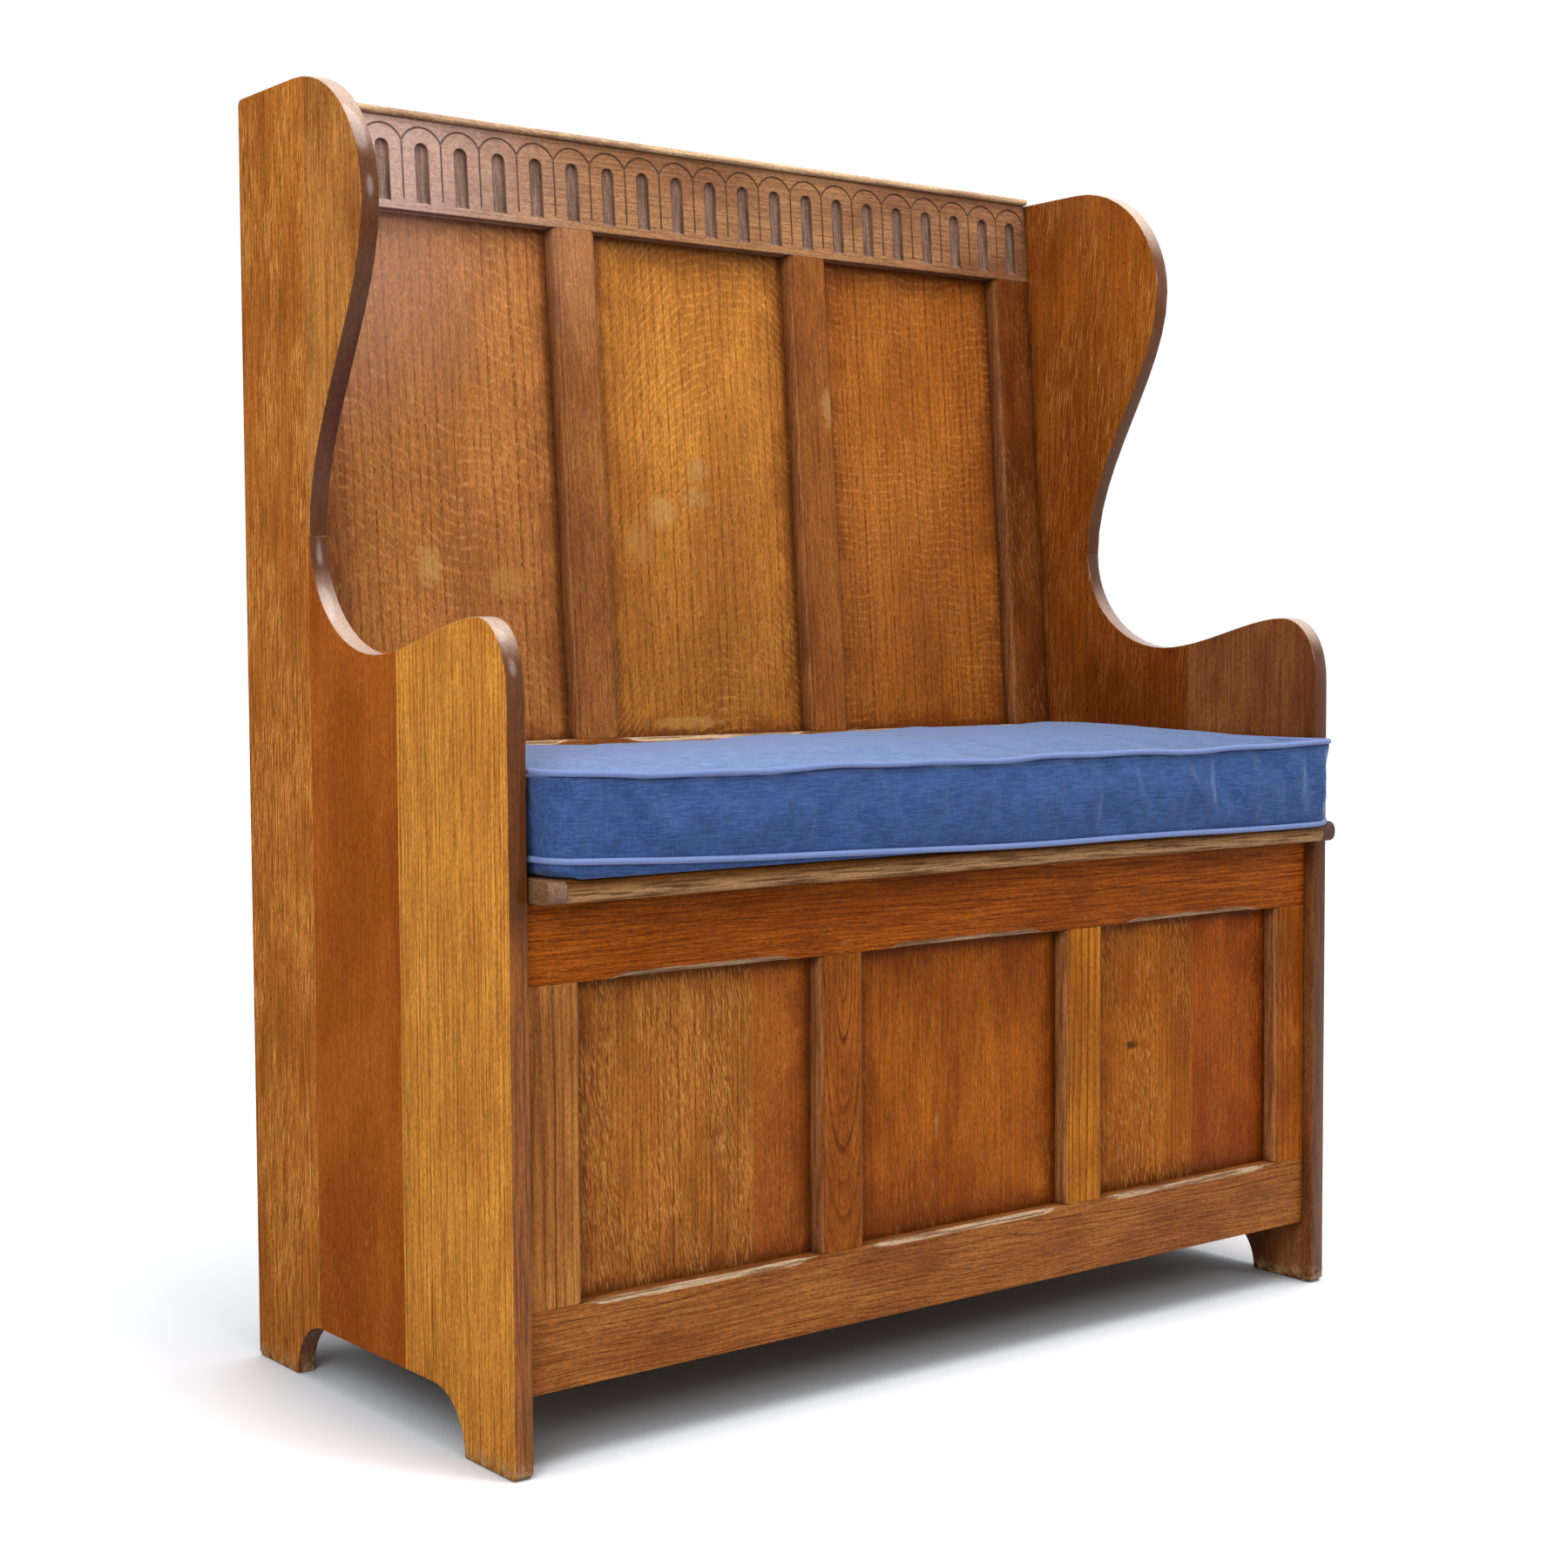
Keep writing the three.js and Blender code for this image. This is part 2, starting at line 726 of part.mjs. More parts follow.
// Box: bearers on the side boards, floor boards along the bench, and boards across the rear.
function boxInside() {
  const end = innerWidth / 2 - bench.jointGap;
  const frontInside = front.recess + front.thickness + bench.jointGap;
  const backSetback = side.depth - box.rearGap;
  const backInside = backSetback - bench.jointGap;
  const floorBottom = front.floorGap + box.bearer + bench.jointGap;
  const floorTop = floorBottom + box.floorThickness;
  const bearerTop = lidBottom - bench.jointGap;
  const backTop = lidBottom - bench.jointGap;
  const group = new THREE.Group();
  for (const [name, facing] of [["left", -1], ["right", 1]]) {
    const span = [facing * end, facing * (end - box.bearer)].sort((a, b) => a - b);
    const rows = [
      ["_floor_bearer", [front.floorGap, front.floorGap + box.bearer]],
      ["_lid_bearer", [bearerTop - box.bearer, bearerTop]],
    ];
    for (const [row, alongZ] of rows)
      group.add(piece(name + row, block(span, [frontInside, backInside], alongZ), oak(colours.hidden)));
    const cleat = block(
      span,
      [backInside - box.bearer, backInside],
      [floorTop + bench.jointGap, bearerTop - box.bearer - bench.jointGap],
    );
    group.add(piece(name + "_back_cleat", cleat, oak(colours.hidden)));
  }
  const floorPitch = (backInside - frontInside + box.boardGap) / box.floorBoards;
  for (let i = 0; i < box.floorBoards; i++) {
    const y = frontInside + i * floorPitch;
    const board = block([-end, end], [y, y + floorPitch - box.boardGap], [floorBottom, floorTop]);
    group.add(piece("floor_board_" + (i + 1), board, oak(colours.hidden)));
  }
  const backPitch = (backTop - front.floorGap + box.boardGap) / box.backBoards;
  for (let i = 0; i < box.backBoards; i++) {
    const z = front.floorGap + i * backPitch;
    const alongY = [backSetback, backSetback + box.backThickness];
    const board = block([-end, end], alongY, [z, z + backPitch - box.boardGap]);
    group.add(piece("box_back_board_" + (i + 1), board, oak(colours.hidden)));
  }
  return group;
}

// Cushion: rings of a rounded rectangle, climbing from the underside over both pipings to the crown.
function cushionRing(outset, z, middle) {
  const halfX = innerWidth / 2 - cushion.endGap - cushion.bulge + outset;
  const halfY = middle.halfY - cushion.bulge + outset;
  const radius = Math.max(cushion.corner + outset, cushion.pipingRadius);
  const steps = cushionSteps;
  const points = [];
  const corners = [
    [1, 1, 0],
    [-1, 1, 1],
    [-1, -1, 2],
    [1, -1, 3],
  ];
  for (const [signX, signY, quarter] of corners) {
    const cx = signX * (halfX - radius);
    const cy = signY * (halfY - radius);
    for (let i = 0; i <= steps.corner; i++) {
      const angle = ((quarter + i / steps.corner) * Math.PI) / 2;
      points.push([cx + radius * Math.cos(angle), cy + radius * Math.sin(angle)]);
    }
    const along = quarter % 2 === 0 ? steps.long : steps.short;
    const last = points[points.length - 1];
    const next = quarter % 2 === 0 ? [-last[0], last[1]] : [last[0], -last[1]];
    for (let i = 1; i < along; i++)
      points.push([0, 1].map((axis) => last[axis] + ((next[axis] - last[axis]) * i) / along));
  }
  return points.map(([x, y]) => [x, middle.y + y, z]);
}

function cushionRows(halfY) {
  const rows = [];
  const bottom = lidTop + bench.restGap;
  const pipe = cushion.pipingRadius;
  const lower = bottom + cushion.height * cushionShares.lowerPiping;
  const upper = bottom + cushion.height;
  const wall = upper - lower;
  rows.push([-cushion.drawIn - cushion.hem, bottom]);
  rows.push([-cushion.drawIn - pipe, bottom + pipe]);
  rows.push([-cushion.drawIn, lower - pipe]);
  rows.push([-cushion.drawIn + pipe, lower]);
  rows.push([-cushion.drawIn, lower + pipe]);
  rows.push([-cushion.drawIn / 2, lower + wall * cushionShares.waist]);
  rows.push([cushion.bulge, lower + wall * cushionShares.bulge]);
  rows.push([-pipe / 2, upper - 2 * pipe]);
  rows.push([pipe, upper - pipe]);
  rows.push([-pipe / 2, upper]);
  for (const inset of cushionShares.crownInsets)
    rows.push([-inset * halfY, upper + cushion.crown * Math.sin((inset * Math.PI) / 2)]);
  return rows;
}

function seatCushion() {
  const rear = seatSetback - cushion.backGap;
  const halfY = (rear + cushion.overhang) / 2;
  const middle = { halfY, y: rear - halfY };
  const rings = cushionRows(halfY).map(([outset, z]) => cushionRing(outset, z, middle));
  const count = rings[0].length;
  const index = [];
  for (let row = 0; row + 1 < rings.length; row++)
    for (let i = 0; i < count; i++) {
      const a = row * count + i;
      const b = row * count + ((i + 1) % count);
      index.push(a, b, b + count, a, b + count, a + count);
    }
  const lidOf = (ring) =>
    THREE.ShapeUtils.triangulateShape(
      ring.map(([x, y]) => new THREE.Vector2(x, y)),
      [],
    );
  const top = (rings.length - 1) * count;
  for (const [a, b, c] of lidOf(rings[0])) index.push(a, c, b);
  for (const [a, b, c] of lidOf(rings[rings.length - 1])) index.push(top + a, top + b, top + c);
  const geometry = new THREE.BufferGeometry();
  geometry.setAttribute("position", new THREE.Float32BufferAttribute(rings.flat(2), 3));
  geometry.setIndex(index);
  return piece("seat_cushion", cut(geometry, cushionReliefs()), cloth());
}

// The underside gives way over the two hinge barrels.
function cushionReliefs() {
  const room = hinge.barrelRadius + cushion.reliefGap;
  const half = hinge.length / 2 + room;
  return hingeCentres().map((x) =>
    block(
      [x - half, x + half],
      [hingeSetback - room, hingeSetback + room],
      [lidTop - bench.overrun, lidTop + room],
    ),
  );
}

const settle = new THREE.Group();
settle.position.y = -originSetback;
settle.add(
  sideBoards("left", -bench.width / 2),
  sideBoards("right", innerWidth / 2),
  boxFront(),
  rakedBack(),
  backCap(),
  seatLid(),
  hingeRailBoard(),
  hinges(),
  boxInside(),
  seatCushion(),
);

export default settle;
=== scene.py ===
import bpy
import math
import numpy as np
from mathutils import Matrix, Vector, noise
from mathutils.bvhtree import BVHTree


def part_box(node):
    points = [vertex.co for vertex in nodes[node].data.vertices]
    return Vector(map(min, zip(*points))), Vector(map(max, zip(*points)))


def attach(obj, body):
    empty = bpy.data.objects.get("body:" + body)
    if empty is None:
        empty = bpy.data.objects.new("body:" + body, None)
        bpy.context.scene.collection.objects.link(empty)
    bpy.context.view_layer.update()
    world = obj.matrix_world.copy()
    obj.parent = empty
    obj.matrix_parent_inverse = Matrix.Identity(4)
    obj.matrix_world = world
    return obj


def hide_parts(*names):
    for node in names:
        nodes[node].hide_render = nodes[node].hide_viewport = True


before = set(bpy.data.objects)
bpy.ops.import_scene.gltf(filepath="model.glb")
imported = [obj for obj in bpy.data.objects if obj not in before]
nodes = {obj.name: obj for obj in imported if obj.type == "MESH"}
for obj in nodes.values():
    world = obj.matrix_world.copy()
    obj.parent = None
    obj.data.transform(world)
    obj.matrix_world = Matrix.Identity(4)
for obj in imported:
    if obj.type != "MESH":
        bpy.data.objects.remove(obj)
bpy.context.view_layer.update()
print("frame loaded:", len(nodes), "pieces")

# Camera and lamps

photoView = {
    "place": (-1.4581, -1.7797, 0.6489),
    "yaw": 37.475,           # degrees to the right of straight ahead
    "pitch": -3.304,
    "roll": -0.338,
    "lens": 55.88,
    "shiftX": 0.0221,
    "shiftY": -0.0012,
}

lamps = {
    "keyLamp": {"place": (-2.9, -2.0, 2.5), "aim": (0, 0, 0.55), "size": 2.4, "watts": 82},
    "topLamp": {"place": (0.3, -0.7, 3.4), "aim": (0, 0.05, 0.5), "size": 2.0, "watts": 66},
    "sheenLamp": {"place": (1.5, -3.4, 2.3), "aim": (-0.3, 0.2, 0.9), "size": 1.2, "watts": 30},
}


def place(name, data):
    made = bpy.data.objects.new(name, data)
    bpy.context.collection.objects.link(made)
    return made


def setCamera(values):
    yaw, pitch, roll = (math.radians(values[k]) for k in ("yaw", "pitch", "roll"))
    ahead = Vector((math.sin(yaw) * math.cos(pitch), math.cos(yaw) * math.cos(pitch), math.sin(pitch)))
    right = Vector((math.cos(yaw), -math.sin(yaw), 0))
    up = right.cross(ahead)
    rightRolled = right * math.cos(roll) + up * math.sin(roll)
    upRolled = up * math.cos(roll) - right * math.sin(roll)
    cameraData = bpy.data.cameras.new("photoCamera")
    cameraData.lens = values["lens"]
    cameraData.sensor_width = 36
    cameraData.shift_x = values["shiftX"]
    cameraData.shift_y = values["shiftY"]
    camera = place("photoCamera", cameraData)
    turn = Matrix((rightRolled, upRolled, -ahead)).transposed().to_4x4()
    camera.matrix_world = Matrix.Translation(values["place"]) @ turn
    bpy.context.scene.camera = camera


def setLamps(table):
    for name, values in table.items():
        lampData = bpy.data.lights.new(name, "AREA")
        lampData.shape = "DISK"
        lampData.size = values["size"]
        lampData.energy = values["watts"]
        lamp = place(name, lampData)
        lamp.location = values["place"]
        aim = Vector(values["aim"]) - Vector(values["place"])
        lamp.rotation_euler = aim.to_track_quat("-Z", "Y").to_euler()


# Node helpers

current = {}             # its "tree" is the node tree that the helpers add to


def feed(inputs, sockets):
    for key, value in sockets.items():
        if isinstance(value, bpy.types.NodeSocket):
            current["tree"].links.new(value, inputs[key])
        else:
            inputs[key].default_value = value


def add(kind, sockets=None, **settings):
    made = current["tree"].nodes.new(kind)
    for name, value in settings.items():
        setattr(made, name, value)
    feed(made.inputs, sockets or {})
    return made


def calc(operation, a, b=0.0, clamp=False):
    return add("ShaderNodeMath", {0: a, 1: b}, operation=operation, use_clamp=clamp).outputs[0]


def times(a, b, clamp=False):
    return calc("MULTIPLY", a, b, clamp)


def plus(a, b, clamp=False):
    return calc("ADD", a, b, clamp)


def minus(a, b):
    return calc("SUBTRACT", a, b)


def over(a, b):
    return calc("DIVIDE", a, b)


def larger(a, b):
    return calc("MAXIMUM", a, b)


def vectorMath(operation, a, b):
    return add("ShaderNodeVectorMath", {0: a, 1: b}, operation=operation).outputs[0]


def scaled(vector, factor):
    return add("ShaderNodeVectorMath", {0: vector, 3: factor}, operation="SCALE").outputs[0]


def length(vector):
    return add("ShaderNodeVectorMath", {0: vector}, operation="LENGTH").outputs["Value"]


def dot(a, b):
    return add("ShaderNodeVectorMath", {0: a, 1: b}, operation="DOT_PRODUCT").outputs["Value"]


def combine(x, y, z):
    return add("ShaderNodeCombineXYZ", {"X": x, "Y": y, "Z": z}).outputs[0]


def objectPlace():
    return add("ShaderNodeTexCoord").outputs["Object"]


def remap(value, low, high, outLow=0.0, outHigh=1.0):
    sockets = {"Value": value, "From Min": low, "From Max": high, "To Min": outLow, "To Max": outHigh}
    return add("ShaderNodeMapRange", sockets, interpolation_type="SMOOTHSTEP").outputs["Result"]


def noiseAt(vector, detail=2.0, rough=0.5):
    sockets = {"Vector": vector, "Scale": 1.0, "Detail": detail, "Roughness": rough}
    return add("ShaderNodeTexNoise", sockets, noise_dimensions="3D").outputs[0]


def noiseAlong(value, detail=1.0):
    sockets = {"W": value, "Scale": 1.0, "Detail": detail}
    return add("ShaderNodeTexNoise", sockets, noise_dimensions="1D").outputs[0]


def mixColour(factor, a, b, mode="MIX"):
    return add("ShaderNodeMix", {0: factor, 6: a, 7: b}, data_type="RGBA", blend_type=mode).outputs[2]


def newGroup(name, inputs, outputs):
    tree = bpy.data.node_groups.new(name, "ShaderNodeTree")
    for label, start in inputs.items():
        size = len(start) if isinstance(start, tuple) else 1
        kind = {1: "NodeSocketFloat", 3: "NodeSocketVector", 4: "NodeSocketColor"}[size]
        tree.interface.new_socket(name=label, in_out="INPUT", socket_type=kind).default_value = start
    for label in outputs:
        kind = {"Color": "NodeSocketColor", "Normal": "NodeSocketVector"}.get(label, "NodeSocketFloat")
        tree.interface.new_socket(name=label, in_out="OUTPUT", socket_type=kind)
    current["tree"] = tree
    return tree, tree.nodes.new("NodeGroupInput").outputs, tree.nodes.new("NodeGroupOutput").inputs


def placeGroup(group, sockets):
    made = current["tree"].nodes.new("ShaderNodeGroup")
    made.node_tree = group
    feed(made.inputs, sockets)
    return made.outputs


def newMaterial(name):
    material = bpy.data.materials.new(name)
    material.use_nodes = True
    current["tree"] = material.node_tree
    return material, material.node_tree.nodes["Principled BSDF"].inputs


def linear(hexColour, factor=1.0):
    parts = [int(hexColour[i:i + 2], 16) / 255 for i in (1, 3, 5)]
    straight = [p / 12.92 if p <= 0.04045 else ((p + 0.055) / 1.055) ** 2.4 for p in parts]
    return (*[min(p * factor, 1) for p in straight], 1)


def shade(hexColour, factor):
    # above 1 paler and more golden, below 1 darker and redder
    red, green, blue, _ = linear(hexColour)
    return (min(red * factor, 1), min(green * factor ** 1.3, 1), min(blue * factor ** 1.15, 1), 1)


def mixed(a, b, share):
    return tuple(p + (q - p) * share for p, q in zip(a, b))


# Shared effects

origin = (0, 0, 0)
grainInputs = {"Position": origin, "Along": (0, 0, 1), "Across": (1, 0, 0)}
figureMasks = ("Rings", "Pores", "Flecks", "Ripple", "Tone", "Streaks")


def makeOakFigure():
    # masks of an oak board's figure: u runs with the grain, v across it and w into the board
    tree, given, out = newGroup("oakFigure", {
        **grainInputs, "Offset": origin,
        "Pith Across": 0.5, "Pith Depth": 0.05, "Taper": 0.0, "Ring Spacing": 0.006, "Waviness": 0.01, "Jag": 0.0,
        "Dashes": 30.0, "Breaks": 0.85,
        "Fleck Slant": 0.2, "Fleck Length": 0.012, "Fleck Cover": 0.3,
        "Ripple Pitch": 0.009, "Ripple Arch": 0.0, "Ripple Centre": 0.0,
    }, figureMasks)
    moved = vectorMath("ADD", given["Position"], given["Offset"])
    through = vectorMath("CROSS_PRODUCT", given["Along"], given["Across"])
    u, v, w = (dot(moved, way) for way in (given["Along"], given["Across"], through))
    u0, v0 = (dot(given["Position"], given[way]) for way in ("Along", "Across"))

    def field(lengthwise, crosswise, detail=1.0, rough=0.5, across=v):
        return noiseAt(combine(times(u, lengthwise), times(across, crosswise), times(w, crosswise)), detail, rough)

    def swing(value, size):
        return times(minus(value, 0.5), size)

    # year rings: distance from a pith line that leaves the board at a slant
    bend = plus(swing(field(4, 16, 2), given["Waviness"]), swing(field(45, 110, 2), given["Jag"]))
    fromPith = plus(minus(v0, given["Pith Across"]), bend)
    depth = plus(times(u0, given["Taper"]), given["Pith Depth"])
    distance = calc("SQRT", plus(times(fromPith, fromPith), times(depth, depth)))
    count = over(distance, given["Ring Spacing"])
    count = plus(count, times(noiseAlong(times(count, 0.4), 2), 1.1))
    phase = calc("FRACT", count)
    early = larger(remap(phase, 0.0, 0.38, 1, 0), remap(phase, 0.93, 1.0))
    each = remap(noiseAlong(plus(times(count, 0.7), 17.3)), 0.35, 0.65, 0.35, 1)
    between = calc("FRACT", times(count, 2.6))
    thin = times(remap(between, 0.0, 0.4, 1, 0), 0.4)
    broken = remap(field(given["Dashes"], 420, 1.5, 0.55), 0.4, 0.54, minus(1, given["Breaks"]), 1)

    # ray flecks: pale slanted strokes in drifts
    slanted = plus(v, plus(times(u, given["Fleck Slant"]), swing(field(22, 16), 0.004)))
    strokes = field(over(0.5, given["Fleck Length"]), 860, 1, 0.5, slanted)
    least = minus(0.62, times(given["Fleck Cover"], 0.25))
    strokes = remap(strokes, least, plus(least, 0.06))

    # ripple: narrow pale waves across the grain
    aside = minus(v0, given["Ripple Centre"])
    lift = times(times(aside, aside), given["Ripple Arch"])
    curl = plus(swing(field(3, 12), 4.5), swing(field(16, 45), 1.3))
    turns = plus(over(plus(u0, lift), given["Ripple Pitch"]), curl)
    crest = remap(calc("SINE", times(turns, math.tau)), 0.2, 1.0)
    gaps = remap(field(70, 130, 2), 0.4, 0.56, 0.1, 1)
    patch = remap(field(6, 10, 2), 0.38, 0.6, 0.15, 1)

    feed(out, {
        "Rings": times(larger(times(early, each), thin), broken),
        "Pores": times(remap(field(240, 950), 0.52, 0.62), remap(early, 0, 1, 0.4, 1)),
        "Flecks": times(strokes, remap(field(8, 22, 2), 0.4, 0.58, 0.15, 1)),
        "Ripple": times(times(crest, gaps), patch),
        "Tone": remap(field(7, 16, 4, 0.55), 0.36, 0.64),
        "Streaks": remap(field(14, 420, 4, 0.7), 0.42, 0.58),
    })
    return tree


def makeOakColour():
    # stain tone, figure, painted shade, dark pits, wear and painted highlight turned into colour, gloss and height
    tree, given, out = newGroup("oakColour", {
        **{mask: 0.0 for mask in (*figureMasks, "Panel Edge Shade", "Shade And Pits", "Wear")},
        "Light": (0.5, 0.3, 0.1, 1), "Dark": (0.3, 0.15, 0.05, 1), "Ring Colour": (0.1, 0.05, 0.02, 1),
        "Fleck Colour": (0.6, 0.4, 0.2, 1), "Panel Edge Shade Colour": (0.1, 0.04, 0.01, 1),
        "Shade And Pits Colour": (0.03, 0.015, 0.008, 1), "Wear Colour": (0.5, 0.3, 0.15, 1),
        "Ring Strength": 0.5, "Streak Strength": 0.25, "Pore Strength": 0.5, "Fleck Strength": 0.4,
        "Ripple Strength": 0.0, "Shine": 0.36,
    }, ["Color", "Roughness", "Height"])
    ripple, rings, pores, flecks, streaks = (
        times(given[mask], given[strength + " Strength"]) for mask, strength in
        (("Ripple", "Ripple"), ("Rings", "Ring"), ("Pores", "Pore"), ("Flecks", "Fleck"), ("Streaks", "Streak")))
    colour = mixColour(given["Tone"], given["Dark"], given["Light"])
    layers = ((given["Panel Edge Shade"], "Panel Edge Shade"), (streaks, "Ring"), (ripple, "Fleck"), (rings, "Ring"), (flecks, "Fleck"),
              (pores, "Ring"), (given["Wear"], "Wear"), (given["Shade And Pits"], "Shade And Pits"))
    for mask, kind in layers:
        colour = mixColour(mask, colour, given[kind + " Colour"])
    dull = plus(plus(times(rings, 0.15), times(given["Shade And Pits"], 0.22)), times(given["Wear"], 0.15))
    feed(out, {
        "Color": colour,
        "Roughness": plus(given["Shine"], dull, True),
        "Height": minus(plus(times(flecks, 0.4), ripple), plus(rings, pores)),
    })
    return tree


def makeEdgeWearAndHighlight():
    # arrises rubbed bare, with a painted highlight, broken up along their length
    tree, given, out = newGroup("edgeWearAndHighlight", {"Position": origin, "Radius": 0.0015, "Amount": 1.0}, ["Wear", "Normal"])
    soft = add("ShaderNodeBevel", {"Radius": given["Radius"]}, samples=4).outputs[0]
    turned = remap(dot(soft, add("ShaderNodeNewGeometry").outputs["True Normal"]), 0.985, 0.86)
    patchy = remap(noiseAt(scaled(given["Position"], 38.0), 3, 0.6), 0.36, 0.62)
    feed(out, {"Wear": times(times(turned, patchy), given["Amount"], True), "Normal": soft})
    return tree


def makeCornerShadeGroup():
    # painted shade, dark where two pieces meet
    tree, given, out = newGroup("cornerShadeGroup", {"Position": origin, "Reach": 0.012, "Amount": 0.8}, ["Shade And Pits"])
    openness = add("ShaderNodeAmbientOcclusion", {"Distance": given["Reach"]}, samples=4).outputs["AO"]
    patchy = remap(noiseAt(scaled(given["Position"], 60.0), 3, 0.6), 0.3, 0.7, 0.55, 1)
    feed(out, {"Shade And Pits": times(times(remap(openness, 0.92, 0.45), patchy), given["Amount"], True)})
    return tree


def makePanelShade():
    # painted shade: a panel darkens towards the edges that the frame holds
    tree, given, out = newGroup("panelShade", {
        "Position": origin, "Low": origin, "High": (1, 1, 1), "Reach": 0.03, "Amount": 0.6,
    }, ["Shade And Pits"])
    below = vectorMath("SUBTRACT", given["Position"], given["Low"])
    above = vectorMath("SUBTRACT", given["High"], given["Position"])
    parts = add("ShaderNodeSeparateXYZ", {0: vectorMath("MINIMUM", below, above)}).outputs
    cloud = noiseAt(scaled(given["Position"], 26.0), 4, 0.6)
    reach = times(given["Reach"], remap(cloud, 0.3, 0.7, 0.35, 1.5))
    near = over(calc("MINIMUM", parts["X"], parts["Z"]), reach)
    feed(out, {"Shade And Pits": times(calc("POWER", remap(near, 0, 1, 1, 0), 1.4), given["Amount"], True)})
    return tree


def makeFacing():
    # 1 where the surface faces the given way
    tree, given, out = newGroup("facing", {"Direction": (0, 0, 1), "Start": 0.9, "Full": 0.97},
                                ["Mask", "Either", "Aside", "Soft"])
    shape = add("ShaderNodeNewGeometry").outputs
    turn = {"vector_type": "NORMAL", "convert_from": "WORLD", "convert_to": "OBJECT"}
    along, smooth = (dot(add("ShaderNodeVectorTransform", {0: shape[kind]}, **turn).outputs[0], given["Direction"])
                     for kind in ("True Normal", "Normal"))
    size = calc("ABSOLUTE", along)
    soft, mask, either = (remap(value, given["Start"], given["Full"]) for value in (smooth, along, size))
    feed(out, {"Soft": soft, "Mask": mask, "Either": either, "Aside": remap(size, 0.75, 0.45)})
    return tree


def makeSpecks():
    # small pale specks and dark pits scattered over old polish
    tree, given, out = newGroup("specks", {"Position": origin, "Spacing": 0.03, "Size": 0.0011}, ["Pale", "Pits"])
    scale = over(1.0, given["Spacing"])
    size = times(given["Size"], scale)
    for label, shift, share in (("Pale", (3.1, 7.7, 1.9), 0.62), ("Pits", (13.7, 2.3, 9.1), 0.7)):
        sockets = {"Vector": vectorMath("ADD", given["Position"], shift), "Scale": scale, "Randomness": 1.0}
        cells = add("ShaderNodeTexVoronoi", sockets).outputs
        chosen = add("ShaderNodeSeparateColor", {0: cells["Color"]}).outputs[0]
        dots = remap(over(cells["Distance"], size), 0.6, 1.0, 1, 0)
        feed(out, {label: times(dots, calc("GREATER_THAN", chosen, share))})
    return tree


def makeRecess():
    # 1 below a carved face: distance behind the plane through Point
    tree, given, out = newGroup("recess", {
        "Position": origin, "Point": origin, "Inward": (0, 1, 0), "Start": 0.0003, "Full": 0.0018,
    }, ["Depth"])
    behind = dot(vectorMath("SUBTRACT", given["Position"], given["Point"]), given["Inward"])
    feed(out, {"Depth": remap(behind, given["Start"], given["Full"])})
    return tree


def makeSpot():
    # one old mark with a ragged edge
    tree, given, out = newGroup("spot", {
        "Position": origin, "Centre": origin, "Size": (0.01, 1, 0.01), "Amount": 0.5, "Core": 0.45, "Ragged": 1.6,
    }, ["Mask"])
    away = length(vectorMath("DIVIDE", vectorMath("SUBTRACT", given["Position"], given["Centre"]), given["Size"]))
    ragged = times(minus(noiseAt(scaled(given["Position"], 110.0), 3, 0.6), 0.5), given["Ragged"])
    feed(out, {"Mask": times(remap(plus(away, ragged), given["Core"], 1.15, 1, 0), given["Amount"])})
    return tree


def makeFineGrain():
    # lightens and darkens the wood from one millimetre to the next
    tree, given, out = newGroup("fineGrain", {"Color": (1, 1, 1, 1), **grainInputs, "Depth": 0.15}, ["Color"])
    position, along, across = given["Position"], given["Along"], given["Across"]
    inward = vectorMath("CROSS_PRODUCT", along, across)
    ways = ((across, 480), (inward, 480), (along, 240))
    dabs = noiseAt(combine(*(times(dot(position, way), often) for way, often in ways)), 3, 0.65)
    factor = remap(dabs, 0.32, 0.68, minus(1.0, given["Depth"]), plus(1.0, given["Depth"]))
    feed(out, {"Color": mixColour(1.0, given["Color"], combine(factor, factor, factor), "MULTIPLY")})
    return tree


oakFigure = makeOakFigure()
oakColour = makeOakColour()
edgeWearAndHighlight = makeEdgeWearAndHighlight()
cornerShadeGroup = makeCornerShadeGroup()
panelShade = makePanelShade()
facing = makeFacing()
specks = makeSpecks()
fineGrain = makeFineGrain()
recess = makeRecess()
spot = makeSpot()
print("shared effects made")

# Oak boards

sideways, backward, upward = (1, 0, 0), (0, 1, 0), (0, 0, 1)
ways = {
    "upright": {"Along": upward, "Across": sideways},
    "side": {"Along": upward, "Across": backward},
    "level": {"Along": sideways, "Across": upward},
    "flat": {"Along": sideways, "Across": backward},
    "inward": {"Along": backward, "Across": sideways},
}

plainBoard = {
    "tone": "#96582a",
    "way": "upright",
    "contrast": 0.24,        # how far light and dark parts of the stain lie apart
    "rings": 0.5,
    "streaks": 0.38,
    "pores": 0.6,
    "flecks": 0.4,
    "ripple": 0.0,
    "ringSpacing": 0.0065,
    "pith": (0.9, 0.05, 0.0),   # across, depth, taper
    "waviness": 0.008,
    "jag": 0.0006,
    "dashes": 22,            # how often a ring's line is broken, per metre
    "breaks": 0.85,          # and how deeply
    "fleck": (0.15, 0.012, 0.25),   # slant, length, cover
    "rippleShape": (0.009, 0.0, 0.0),   # pitch, arch, centre
    "shine": 0.36,
    "shadeAndPits": 0.75,
    "shadeReach": 0.012,
    "wear": 0.5,
    "edgeTone": None,        # colour of the sawn edges, on shaped boards
    "gloss": 0.12,
    "coat": 0.02,
    "relief": 0.45,
    "log": None,             # boards of one log share their figure
}

